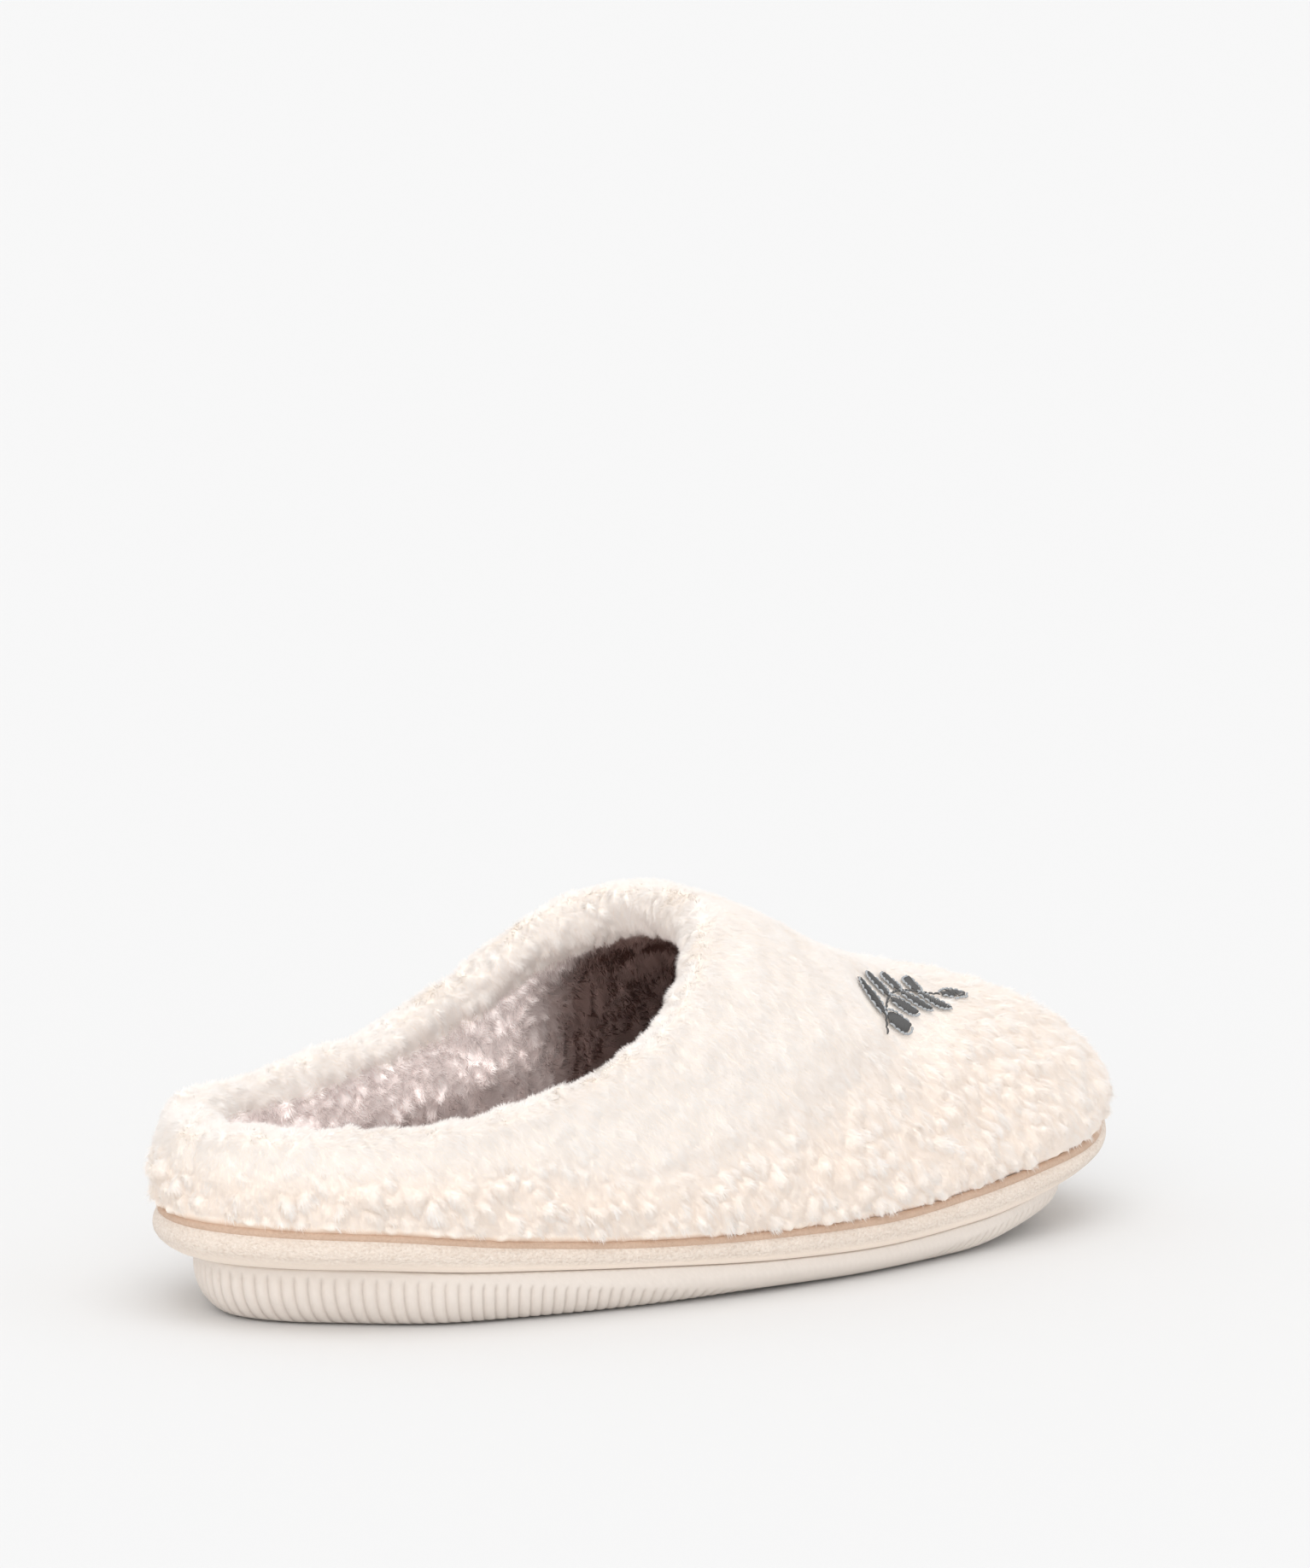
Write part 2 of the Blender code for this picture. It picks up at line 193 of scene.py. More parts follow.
# %% The last
LENGTH = 0.262
BALL_WIDTH = 0.100
HEEL_HEIGHT = 0.0205
INSTEP_HEIGHT = 0.0670
SEAM_GAP = 0.0003
WALL_BASE = 0.0055
WALL_THROAT = 0.0100
WALL_HEEL = 0.0135
PADDING_DEPTH = 0.0190
HEEL_PADDING_END = 0.25
CREASE_INSET = 0.0022
FLEECE_SWELL = 0.0034
SWELL_HEIGHT = 0.0085
TOE_ROUND = 0.0420
HEEL_ROUND = 0.0300
SPINE_HEEL, SPINE_TOE, SPINE_BEND = 0.16, 0.40, 1.7
CROWN_POWER, TOE_POWER, HEEL_POWER = 2.4, 2.2, 2
PLAN_POINTS, KNOT_STEPS = 2400, 60

PLAN_TABLE = (
    # station, lateral, medial
    (0.000, 0.000, 0.000),
    (0.030, 0.190, 0.190),
    (0.100, 0.335, 0.335),
    (0.200, 0.420, 0.390),
    (0.330, 0.480, 0.405),
    (0.470, 0.512, 0.430),
    (0.600, 0.505, 0.465),
    (0.700, 0.475, 0.485),
    (0.800, 0.430, 0.480),
    (0.880, 0.370, 0.430),
    (0.940, 0.280, 0.345),
    (0.985, 0.135, 0.205),
    (1.000, -0.030, 0.030),
)
SIDE_TABLE = (
    # station, underside, outsole_top, crease
    (0.00, 0.05, 0.62, 1.05),
    (0.08, 0.00, 0.62, 1.02),
    (0.20, 0.00, 0.56, 0.86),
    (0.34, 0.00, 0.46, 0.71),
    (0.48, 0.02, 0.36, 0.64),
    (0.60, 0.00, 0.32, 0.61),
    (0.72, 0.00, 0.37, 0.69),
    (0.82, 0.12, 0.48, 0.80),
    (0.91, 0.27, 0.62, 0.90),
    (1.00, 0.55, 0.84, 1.20),
)
RIDGE_TABLE = (
    # station, ridge
    (0.00, 0.88),
    (0.30, 0.97),
    (0.50, 1.00),
    (0.57, 0.93),
    (0.65, 0.79),
    (0.73, 0.66),
    (0.82, 0.545),
    (0.90, 0.47),
    (1.00, 0.40),
)
TOPLINE_TABLE = (
    # station, lateral, medial
    (0.000, 0.27, 0.27),
    (0.110, 0.29, 0.29),
    (0.180, 0.34, 0.34),
    (0.250, 0.41, 0.41),
    (0.320, 0.50, 0.50),
    (0.380, 0.60, 0.63),
    (0.430, 0.73, 0.79),
    (0.470, 0.86, 0.90),
    (0.515, 1.00, 1.00),
)
OVERHANG_TABLE = (
    # station, overhang
    (0.00, 1.00),
    (0.06, 0.98),
    (0.18, 0.34),
    (0.32, 0.26),
    (0.74, 0.26),
    (0.86, 0.55),
    (0.94, 1.20),
    (1.00, 1.40),
)


def smooth_step(t):
    t = np.clip(t, 0, 1)
    return t**2 * (3 - 2 * t)


def ramp(values, start, run):
    """Goes smoothly from 0 to 1, beginning at start. A negative run goes the other way."""
    return smooth_step((values - start) / run)


def unit(vectors):
    return vectors / np.maximum(np.linalg.norm(vectors, axis=-1), 1e-12)[..., None]


def table_curve(table, column, at):
    """A smooth curve through one column of a table, with no overshoot between its rows."""
    rows = np.array(table)
    x, y = rows[:, 0], rows[:, column]
    width, rise = np.diff(x), np.diff(y) / np.diff(x)
    before, after = width[:-1] + 2 * width[1:], 2 * width[:-1] + width[1:]
    slope = np.zeros(len(x))
    same_way = rise[:-1] * rise[1:] > 0
    safe = np.where(rise == 0, 1, rise)
    slope[1:-1] = np.where(same_way, (before + after) / (before / safe[:-1] + after / safe[1:]), 0)
    slope[0], slope[-1] = rise[0], rise[-1]
    at = np.clip(at, x[0], x[-1])
    i = np.clip(np.searchsorted(x, at, side="right") - 1, 0, len(width) - 1)
    t = (at - x[i]) / width[i]
    ends = y[i] * (1 + 2 * t) * (1 - t) ** 2 + y[i + 1] * t**2 * (3 - 2 * t)
    bends = slope[i] * t * (1 - t) ** 2 - slope[i + 1] * t**2 * (1 - t)
    return ends + bends * width[i]


def even_points(curve, shares):
    """Points on a curve at shares of its length."""
    steps = np.linalg.norm(np.diff(curve, axis=0), axis=1)
    length = np.concatenate([[0], np.cumsum(steps)])
    return np.stack([np.interp(shares * length[-1], length, axis) for axis in curve.T], -1)


def smooth_loop(knots, count):
    """count evenly spaced points on a closed cubic spline through the knots."""
    on = np.roll(knots, -1, 0)
    step = np.sqrt(np.linalg.norm(on - knots, axis=1))[:, None]
    system = np.diag(2 * (np.roll(step, 1) + step)[:, 0])
    for i in range(len(knots)):
        system[i, i - 1] += step[i - 1, 0]
        system[i, (i + 1) % len(knots)] += step[i, 0]
    slope = (on - knots) / step
    bend = np.linalg.solve(system, 6 * (slope - np.roll(slope, 1, 0)))
    t = np.linspace(0, 1, KNOT_STEPS, endpoint=False)[None, :, None]
    line = knots[:, None] * (1 - t) + on[:, None] * t
    curl = ((1 - t) ** 3 - (1 - t)) * bend[:, None] + (t**3 - t) * np.roll(bend, -1, 0)[:, None]
    curve = (line + step[:, None] ** 2 / 6 * curl).reshape(-1, 2)
    return even_points(np.vstack([curve, curve[:1]]), np.arange(count) / count)


def station(x):
    return x / LENGTH + 0.5


def side_height(column, x):
    return HEEL_HEIGHT * table_curve(SIDE_TABLE, column, station(x))


def moved_in(loop, distance):
    """The loop, each point moved inwards by its distance."""
    along = unit(np.roll(loop, -1, 0) - np.roll(loop, 1, 0))
    inwards = np.stack([-along[:, 1], along[:, 0]], -1)
    return loop + inwards * np.broadcast_to(distance, len(loop))[:, None]


def two_sides(loop):
    """A loop's outer and inner side, both from heel to toe."""
    ring = np.roll(loop, -int(np.argmin(loop[:, 0])), 0)
    toe = int(np.argmax(ring[:, 0]))
    return ring[: toe + 1], np.vstack([ring[toe:], ring[:1]])[::-1]


def paired_loop(loop, count):
    """count points, in pairs that lie straight across the shoe."""
    low, high = two_sides(loop)
    x = np.union1d(low[:, 0], high[:, 0])
    run = [np.hypot(np.diff(x), np.diff(np.interp(x, *side.T))) for side in (low, high)]
    length = np.concatenate([[0], np.cumsum(run[0] + run[1])])
    pairs = np.interp(np.linspace(0, length[-1], count // 2 + 1), length, x)
    near, far = (np.stack([pairs, np.interp(pairs, *side.T)], -1) for side in (low, high))
    return np.vstack([near, far[-2:0:-1]])


def at_height(loop, z):
    return np.column_stack([loop, np.broadcast_to(z, len(loop))])


plan_rows = np.array(PLAN_TABLE)
plan_x = (plan_rows[:, 0] - 0.5) * LENGTH
outer_knots = np.stack([plan_x, -plan_rows[:, 1] * BALL_WIDTH], -1)
inner_knots = np.stack([plan_x, plan_rows[:, 2] * BALL_WIDTH], -1)
plan = smooth_loop(np.vstack([outer_knots, inner_knots[-2:0:-1]]), PLAN_POINTS)
footbed_low, footbed_high = (np.array(corner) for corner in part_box("footbed"))
TO_FRAME = np.append((footbed_low + footbed_high)[:2] / 2 - (plan.min(0) + plan.max(0)) / 2, 0)
print("the last's middle lies at", TO_FRAME)

# %% [markdown]
# Cloth starts as a flat grid, as it does on the cutting table. The grid primitive brings a UV map
# with it, which keeps each point's place on the flat cloth. Each of its points is then laid at a
# place over the last, and the edges that meet are merged.


# %% Cloth laid over the last
BAKE_MAP = "OFBake"


def select_only(piece):
    bpy.ops.object.select_all(action="DESELECT")
    piece.select_set(True)
    bpy.context.view_layer.objects.active = piece


def edit(piece, *steps):
    """Runs edit-mode operators on all of one piece."""
    select_only(piece)
    bpy.ops.object.mode_set(mode="EDIT")
    bpy.ops.mesh.select_all(action="SELECT")
    for step, settings in steps:
        step(**settings)
    bpy.ops.object.mode_set(mode="OBJECT")


def read(members, key, width=1, kind=float):
    """One value of every member of a mesh's list, or a row of width values."""
    values = np.empty(len(members) * width, kind)
    members.foreach_get(key, values)
    return values.reshape(-1, width) if width > 1 else values


def laid_cloth(name, places, levels=0):
    """A closed cloth whose rows run round the shoe. places is rows by columns by xyz."""
    rows, columns = places.shape[:2]
    bpy.ops.object.select_all(action="DESELECT")
    bpy.ops.mesh.primitive_grid_add(x_subdivisions=columns, y_subdivisions=rows - 1, size=1)
    cloth = bpy.context.object
    cloth.name = cloth.data.name = name
    flat = coordinates(cloth)
    column = np.rint((flat[:, 0] + 0.5) * columns).astype(int)
    row = np.rint((flat[:, 1] + 0.5) * (rows - 1)).astype(int)
    shaped = places[row, column % columns] + TO_FRAME
    cloth.data.vertices.foreach_set("co", shaped.reshape(-1))
    cloth.data.uv_layers[0].name = BAKE_MAP
    edit(
        cloth,
        (bpy.ops.mesh.remove_doubles, {"threshold": 1e-5}),
        (bpy.ops.mesh.normals_make_consistent, {"inside": False}),
    )
    if levels:
        rounding = cloth.modifiers.new("rounding", "SUBSURF")
        rounding.levels = rounding.render_levels = levels
        bpy.ops.object.modifier_apply(modifier="rounding")
    bpy.ops.object.shade_smooth()
    return cloth


def coordinates(piece):
    return read(piece.data.vertices, "co", 3)


def normals(piece):
    return read(piece.data.vertex_normals, "vector", 3)


def cloth_places(piece):
    """Each vertex's place on the flat cloth, from its UV map."""
    mesh = piece.data
    out = np.empty((len(mesh.vertices), 2))
    out[read(mesh.loops, "vertex_index", kind=int)] = read(mesh.uv_layers.active.uv, "vector", 2)
    return out


def paint(piece, name, values):
    layer = piece.data.attributes.new(name, "FLOAT", "POINT")
    layer.data.foreach_set("value", np.asarray(values, np.float32))


# %% [markdown]
# The upper is the fleece with its foam and lining, sewn as a shell that is open at the collar. It
# could be an inflated sheet or a hollowed block. Here it is one ring of cloth: up the outside, over
# the padded edge, and down the inside again. Its rows are counted from the crease, so a row number
# says how far up the slipper a point lies, and pile and lining can tell where they grow.

# %% The upper's form
COLUMNS = 192
OUTER_ROWS = 20
EDGE_ROWS = 8
LINING_ROWS = 4
PATH_POINTS = 300
ROW_CROWDING = 1.15
BEND_STEPS = 24
CUFF_TABLE = (
    # station, cloth from the outer edge over the rim to the lining
    (0.00, 0.0165),
    (0.12, 0.0160),
    (0.26, 0.0145),
    (0.36, 0.0170),
    (0.44, 0.0190),
    (1.00, 0.0200),
)

crease_line = moved_in(plan, CREASE_INSET)


def last_shape(x, y):
    """The last's height over the crease, as a share of its ridge."""
    near, far = (np.interp(x, *side.T) for side in two_sides(crease_line))
    middle, half = (near + far) / 2, np.maximum((far - near) / 2, 1e-6)
    out = np.clip(np.abs(y - middle) / half, 0, 1)
    toe, heel = crease_line[:, 0].max(), crease_line[:, 0].min()
    over_toe = np.clip((x - toe + TOE_ROUND) / TOE_ROUND, 0, 1)
    over_heel = np.clip((heel + HEEL_ROUND - x) / HEEL_ROUND, 0, 1)
    ends = (1 - over_toe**TOE_POWER) * (1 - over_heel**HEEL_POWER)
    return np.sqrt((1 - out**CROWN_POWER) * ends)


def path_to_topline(start, target):
    """Goes from the crease over the last until it meets the line where the upper ends."""
    share = np.linspace(0, 1, PATH_POINTS)[:, None] ** 2
    way = start + (target - start) * share
    x, y = way.T
    shape = last_shape(x, y)
    shape[0] = 0
    rise = INSTEP_HEIGHT * table_curve(RIDGE_TABLE, 1, station(x)) * shape
    surface = np.column_stack([way, side_height(3, x) + SEAM_GAP + rise])
    side = 1 if start[1] < target[1] else 2
    past_throat = np.maximum(station(x) - TOPLINE_TABLE[-1][0], 0)
    over = shape - table_curve(TOPLINE_TABLE, side, station(x)) - past_throat
    end = int(np.argmax(over >= 0))
    cut = over[end - 1] / (over[end - 1] - over[end])
    return np.vstack([surface[:end], surface[end - 1] + (surface[end] - surface[end - 1]) * cut])


def outer_cloth():
    """The fleece's outside, from the crease to the outer edge, swelling out over the crease."""
    seam = paired_loop(crease_line, COLUMNS)
    share = np.interp(seam[:, 0], (crease_line[:, 0].min(), crease_line[:, 0].max()), (0, 1))
    spine = SPINE_HEEL + (SPINE_TOE - SPINE_HEEL) * (1 - (1 - share) ** SPINE_BEND)
    x = (spine - 0.5) * LENGTH
    middle = sum(np.interp(x, *side.T) for side in two_sides(crease_line)) / 2
    shares = np.linspace(0, 1, OUTER_ROWS) ** ROW_CROWDING
    paths = [path_to_topline(seam[i], np.array([x[i], middle[i]])) for i in range(COLUMNS)]
    grid = np.stack([even_points(path, shares) for path in paths], axis=1)
    outwards = seam - moved_in(seam, 1)
    lift = (grid[..., 2] - side_height(3, grid[..., 0]) - SEAM_GAP) / SWELL_HEIGHT
    swell = np.sqrt(1 - (1 - np.clip(lift, 0, 1)) ** 2) / (1 + np.maximum(lift - 1, 0) ** 2)
    grid[..., :2] += outwards * (FLEECE_SWELL * swell)[..., None]
    return grid


def calmed(grid, rounds):
    """Evens out a grid round the shoe."""
    for _ in range(rounds):
        grid = (np.roll(grid, 1, 1) + 2 * grid + np.roll(grid, -1, 1)) / 4
    return grid


outer = outer_cloth()
up = unit(calmed(np.gradient(outer, axis=0), rounds=2))
along = unit(calmed(np.roll(outer, -1, 1) - np.roll(outer, 1, 1), rounds=2))
facing = unit(np.cross(along, up))
steps = np.linalg.norm(np.diff(outer, axis=0), axis=2)
from_edge = np.zeros(outer.shape[:2])
from_edge[:-1] = np.cumsum(steps[::-1], axis=0)[::-1]
heel_padding = smooth_step(1 - station(outer[..., 0]) / HEEL_PADDING_END)
edge_wall = WALL_THROAT + (WALL_HEEL - WALL_THROAT) * heel_padding
wall = WALL_BASE + (edge_wall - WALL_BASE) * smooth_step(1 - from_edge / PADDING_DEPTH)
inner = calmed(outer - facing * wall[..., None], rounds=3)[1:]
inner[0, :, :2] = moved_in(outer[0, :, :2], WALL_BASE)
inner[0, :, 2] = side_height(3, inner[0, :, 0]) + SEAM_GAP
radius = wall[-1] / 2
bend_middle = (outer[-1] + inner[-1]) / 2
bend = [
    bend_middle + (outer[-1] - bend_middle) * math.cos(a) + up[-1] * (math.sin(a) * radius)[:, None]
    for a in np.linspace(0, math.pi, BEND_STEPS + 1)
]
over_and_down = np.concatenate([bend, inner[-2::-1]])
inside = []
for i in range(COLUMNS):
    path = over_and_down[:, i]
    length = np.linalg.norm(np.diff(path, axis=0), axis=1).sum()
    cuff = table_curve(CUFF_TABLE, 1, station(outer[-1, i, 0])) / length
    edge_shares = cuff * np.linspace(0, 1, EDGE_ROWS + 1)[1:]
    lining_shares = cuff + (1 - cuff) * np.linspace(0, 1, LINING_ROWS + 1)[1:]
    inside.append(even_points(path, np.concatenate([edge_shares, lining_shares])))
inside = np.stack(inside, axis=1)
upper_rows = np.concatenate([outer, inside, outer[:1]])
ROW_COUNT = len(upper_rows) - 1
RIM_START = (OUTER_ROWS - 1) / ROW_COUNT
CUFF_END = (OUTER_ROWS - 1 + EDGE_ROWS) / ROW_COUNT
upper = laid_cloth("fleece_upper", upper_rows, levels=2)
print("the upper has", len(upper.data.polygons), "faces")

# %% [markdown]
# Fleece of this kind is knitted with long loops that are cut and tumbled, so that neighbouring
# hairs curl into locks, 3 mm across and up to 7 mm long. Low on the sides they lie down and forward.
# Towards the edge and over the vamp the pile is shorter and brushed smooth. Bump alone would leave
# the outline smooth, so the cloth itself gets the locks as real relief, and hairs are set on it
# afterwards.

# %% The fleece's relief
LAY = np.array((0.55, 0.0, -0.83))
LOCK_LENGTH, LOCK_WIDTH = 0.0072, 0.0034
MOTIF_MIDDLE = np.array((0.053, -0.0245))
MOTIF_REACH = np.array((0.027, 0.012))
MOTIF_TURN = math.radians(27)
MOTIF_DEPTH = 0.0012
BACK_SEAM_WIDTH, BACK_SEAM_DEPTH = 0.0018, 0.0005
LOCK_BEND, LOCK_BEND_SCALE, LOCK_EDGE = 0.45, 0.004, 0.75
LUMP_SCALE, LUMP_HEIGHT = 0.016, 0.0009
RIPPLE_SCALE = 0.0052
PILE_RELIEF = (
    # what, all over, added by shag, added on the cuff
    ("swell", 0.0005, 0.0011, 0.0),
    ("ripples", 0.0006, 0.0005, 0.0004),
    ("gaps", 0.0003, 0.0018, 0.0007),
)
LINING_LUMPS, LINING_RIPPLES, LINING_GAPS = 0.0006, 0.0008, 0.0010
CREASE_RISE = 0.0026
FLAT_ROWS = 1.2
SHAG_TOP, SHAG_TOP_GAIN, SHAG_TOE_LOSS = 0.66, 0.30, 0.35
SHAG_FADE = 0.45
SHALLOWEST_GAP = 0.25
VAMP_SLANT, VAMP_SLANT_HEIGHT = 0.4, 0.04
LOW_WALL_SHADE = 0.62

# Each zone is where a change starts and the run it takes. A negative run goes back or down.
HEEL_ZONE = (-0.03, -0.06)
TOE_ZONE = (0.075, 0.03)
MOTIF_HEIGHT_ZONE = (0.035, 0.01)
MOTIF_EDGE_ZONE = (0.55, 0.5)
UNDER_VAMP_ZONE = (-0.010, 0.026)
LOW_ZONE = (0.36, 0.16)
BEHIND_ZONE = (-0.112, -0.006)
CUFF_ZONE = (1.05, 0.1)
FLEECE_CREASE_SHADE_ZONE = (0.0004, 0.0016)


def turned_axes(angle):
    """Both axes of a plane, turned by an angle."""
    return np.array(((math.cos(angle), math.sin(angle)), (-math.sin(angle), math.cos(angle))))


MOTIF_AXES = turned_axes(MOTIF_TURN)


def lock_space(points):
    """Places measured in locks, which are longer along their lay."""
    along_lay = points @ LAY
    across_lay = points - along_lay[:, None] * LAY
    return across_lay / LOCK_WIDTH + along_lay[:, None] * LAY / LOCK_LENGTH


def from_lock_space(cells):
    along_lay = cells @ LAY
    return (cells - along_lay[:, None] * LAY) * LOCK_WIDTH + along_lay[:, None] * LAY * LOCK_LENGTH


def wander(points, scale, seed):
    """A smooth random vector at each point."""
    shift = Vector((seed * 7.3, seed * 3.1, seed * 5.7))
    return np.array([noise.noise_vector(Vector(p) / scale + shift) for p in points])


def locks(points):
    """For each point, how deep it lies between locks from 0 to 1, and its own lock's middle."""
    bend = LOCK_BEND * wander(points, LOCK_BEND_SCALE, 1)
    bent = lock_space(points) + bend
    found = [noise.voronoi(Vector(p)) for p in bent]
    near = np.array([distances[0] for distances, _ in found])
    next_near = np.array([distances[1] for distances, _ in found])
    middle = np.array([cells[0] for _, cells in found])
    depth = 1 - smooth_step((next_near - near) / LOCK_EDGE)
    return depth, from_lock_space(middle - bend)


def shagginess(places, points):
    """1 where the locks are long, 0 where the pile is brushed smooth."""
    top = SHAG_TOP + SHAG_TOP_GAIN * ramp(points[:, 0], *HEEL_ZONE)
    height = ramp(places[:, 1] / RIM_START, top, -SHAG_FADE)
    toe = 1 - SHAG_TOE_LOSS * ramp(points[:, 0], *TOE_ZONE)
    return height * toe


def hollowed(gap, shag):
    """How deep a gap between locks looks, which is less where the pile is brushed."""
    return gap * (SHALLOWEST_GAP + (1 - SHALLOWEST_GAP) * shag)


def pressed(points):
    """1 where a stitched sprig holds the pile down, alike on both halves of the vamp."""
    outer_half = np.stack([points[:, 0], -np.abs(points[:, 1])], -1)
    away = (outer_half - MOTIF_MIDDLE) @ MOTIF_AXES.T / MOTIF_REACH
    over = ramp(points[:, 2], *MOTIF_HEIGHT_ZONE)
    return over * (1 - ramp(np.linalg.norm(away, axis=1), *MOTIF_EDGE_ZONE))


def lift_over_crease(points):
    return points[:, 2] - side_height(3, points[:, 0] - TO_FRAME[0]) - SEAM_GAP


def plush_shade_share(points, places):
    """How much painted shade a plush gets: 1 deep under the vamp and low on the walls, 0 where it
    stays pale.
    """
    slanted = points[:, 0] + VAMP_SLANT * (points[:, 2] - VAMP_SLANT_HEIGHT)
    low = ramp((places[:, 1] - CUFF_END) / (1 - CUFF_END), *LOW_ZONE)
    return np.maximum(ramp(slanted, *UNDER_VAMP_ZONE), LOW_WALL_SHADE * low)


def back_seam(points):
    """1 on the seam up the heel's middle."""
    behind = ramp(points[:, 0], *BEHIND_ZONE)
    return behind * np.exp(-(((points[:, 1] - TO_FRAME[1]) / BACK_SEAM_WIDTH) ** 2))


flat_places = cloth_places(upper)
points = coordinates(upper)
outward = normals(upper)
cream_side = flat_places[:, 1] < CUFF_END + 0.5 / ROW_COUNT
shag = shagginess(flat_places, points) * cream_side
gap, _ = locks(points)
lumps = wander(points, LUMP_SCALE, 2)[:, 0]
ripples = wander(points, RIPPLE_SCALE, 3)[:, 1]
cuff = ramp(flat_places[:, 1] / RIM_START, *CUFF_ZONE)
swell, ripple_height, gap_depth = (
    all_over + by_shag * shag + on_cuff * cuff for _, all_over, by_shag, on_cuff in PILE_RELIEF
)
relief = swell + lumps * LUMP_HEIGHT + ripples * ripple_height
relief -= gap * gap_depth + BACK_SEAM_DEPTH * back_seam(points)
held = pressed(points)
relief = relief * (1 - held) - MOTIF_DEPTH * held
rows_up = flat_places[:, 1] * ROW_COUNT
lift = lift_over_crease(points)
lining_relief = LINING_LUMPS * lumps + LINING_RIPPLES * ripples - LINING_GAPS * gap
relief = np.where(cream_side, relief * smooth_step(lift / CREASE_RISE), lining_relief)
relief = np.where(rows_up > ROW_COUNT - FLAT_ROWS, 0, relief)
upper.data.vertices.foreach_set("co", (points + outward * relief[:, None]).reshape(-1))
# Painted shade: the gaps between locks are marked so that the colour turns peach there.
paint(upper, "gap_shade", hollowed(gap, shag))
# Painted shade: the fleece is marked tan in the millimetres just above the crease, where shadow
# falls.
paint(upper, "crease", (1 - ramp(lift, *FLEECE_CREASE_SHADE_ZONE)) * cream_side)
# Painted shade: this mark darkens the lining under the vamp and low on its walls.
paint(upper, "deep", plush_shade_share(points, flat_places))
upper.data.update()

# Painted shade: the tan of the shadow in the crease, used on fleece, jersey and the shadow tube.
CREASE_SHADE_TAN = (0.66, 0.47, 0.34)
# Painted light: a faint even glow lifts the cream fleece and its pile, light that no lamp gives.
PAINTED_PILE_GLOW = {"Emission Color": (0.96, 0.92, 0.86, 1), "Emission Strength": 0.12}
PILE_SHINE = {"Roughness": 0.95, "Specular IOR Level": 0.1}
FLEECE_PALE, FLEECE_WARM_TONE_AND_SHADE = (0.90, 0.84, 0.77), (0.91, 0.78, 0.67)
fleece = Finish("cream_fleece", FLEECE_PALE, **PILE_SHINE, **PAINTED_PILE_GLOW)
gap_shade = fleece.attribute("gap_shade")
fibres = fleece.noise(fleece.places((1.6, 1.6, 0.7), (0, 0.6, 0)), 1.0, 3.0)
cloudy = fleece.noise(fleece.places(), 0.09)
# Painted shade: the fleece darkens to a warm peach in the gaps between locks; cloud and fibre noise
# add a random warm tone to the same mix.
shade = (gap_shade * 0.6 + cloudy * 0.25 + fibres * 0.15 - 0.15).clamped()
cream = fleece.blend(shade, FLEECE_PALE, FLEECE_WARM_TONE_AND_SHADE)
# Painted shade: the crease mark turns the fleece tan.
fleece.drive("Base Color", fleece.blend(fleece.attribute("crease"), cream, CREASE_SHADE_TAN))
fleece.bump(fibres, 0.0004, 0.6)

# Painted shade: a darker mauve where shade falls under the vamp and low on the walls. Painted light:
# a glow colour for the lit walls.
PAINTED_SHADE_MAUVE, PAINTED_LINING_GLOW, NO_GLOW = (0.50, 0.37, 0.34), (0.76, 0.71, 0.685), (0.0, 0.0, 0.0)
PLUSH_FOLD, PLUSH_TOP = (0.60, 0.51, 0.495), (0.80, 0.72, 0.70)
# The plush's emission carries a painted glow.
plush = Finish("mauve_plush", PLUSH_FOLD, Roughness=0.9, Emission_Strength=1.0)
patches = plush.noise(plush.places(), 0.12)
nap = plush.noise(plush.places((1, 1, 0.6)), 1.8, 3.0)
worn = (patches * 0.6 + nap * 0.5 - 0.1).clamped()
mauve = plush.blend(worn, PLUSH_FOLD, PLUSH_TOP)
# Painted shade: the plush darkens to mauve under the vamp and low on the walls.
vamp_shade_share = plush.attribute("deep")
plush.drive("Base Color", plush.blend(vamp_shade_share, mauve, PAINTED_SHADE_MAUVE))
# Painted light: the plush glows faintly where it is not painted dark under the vamp.
painted_plush_glow = ((1 - vamp_shade_share) * 0.4).clamped()
plush.drive("Emission Color", plush.blend(painted_plush_glow, NO_GLOW, PAINTED_LINING_GLOW))
plush.bump(nap, 0.0006, 0.8)

upper.data.materials.append(fleece.material)
upper.data.materials.append(plush.material)
corner_rows = read(upper.data.uv_layers.active.uv, "vector", 2)[:, 1]
face_rows = corner_rows.reshape(-1, 4).mean(1)
upper.data.polygons.foreach_set("material_index", (face_rows > CUFF_END).astype(np.int32))
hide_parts("upper")
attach(upper, "root")

# %% [markdown]
# A hair is a pointed blade that is modelled once. A hair system would grow the pile too, but a
# mesh is what a library can keep. Copies are set on the cloth at random, each turned to its own
# lay, and hairs of one lock lean towards the lock's tip. A copy takes the cloth's normals, so the
# pile is lit as one soft surface and not as thousands of slivers.


# %% Hairs
HAIR_CORNERS = 3
SOFT_LEAN = 0.12
BAKE_COLUMNS, BAKE_STACKS, CELL_FILL = 128, 32, 0.8


def copied(name, template, spots):
    """One mesh of many copies of a template. spots is copies by corners by xyz."""
    count, size = spots.shape[:2]
    corners = read(template.data.loops, "vertex_index", kind=int)
    starts = read(template.data.polygons, "loop_start", kind=int)
    turn = np.arange(count)[:, None]
    mesh = bpy.data.meshes.new(name)
    mesh.vertices.add(count * size)
    mesh.vertices.foreach_set("co", spots.reshape(-1))
    mesh.loops.add(count * len(corners))
    mesh.loops.foreach_set("vertex_index", (corners + size * turn).reshape(-1))
    mesh.polygons.add(count * len(starts))
    mesh.polygons.foreach_set("loop_start", (starts + len(corners) * turn).reshape(-1))
    mesh.update()
    mesh.validate()
    mesh.shade_smooth()
    piece = bpy.data.objects.new(name, mesh)
    scene.collection.objects.link(piece)
    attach(piece, "root")
    print(name, "has", count, "copies")
    return piece


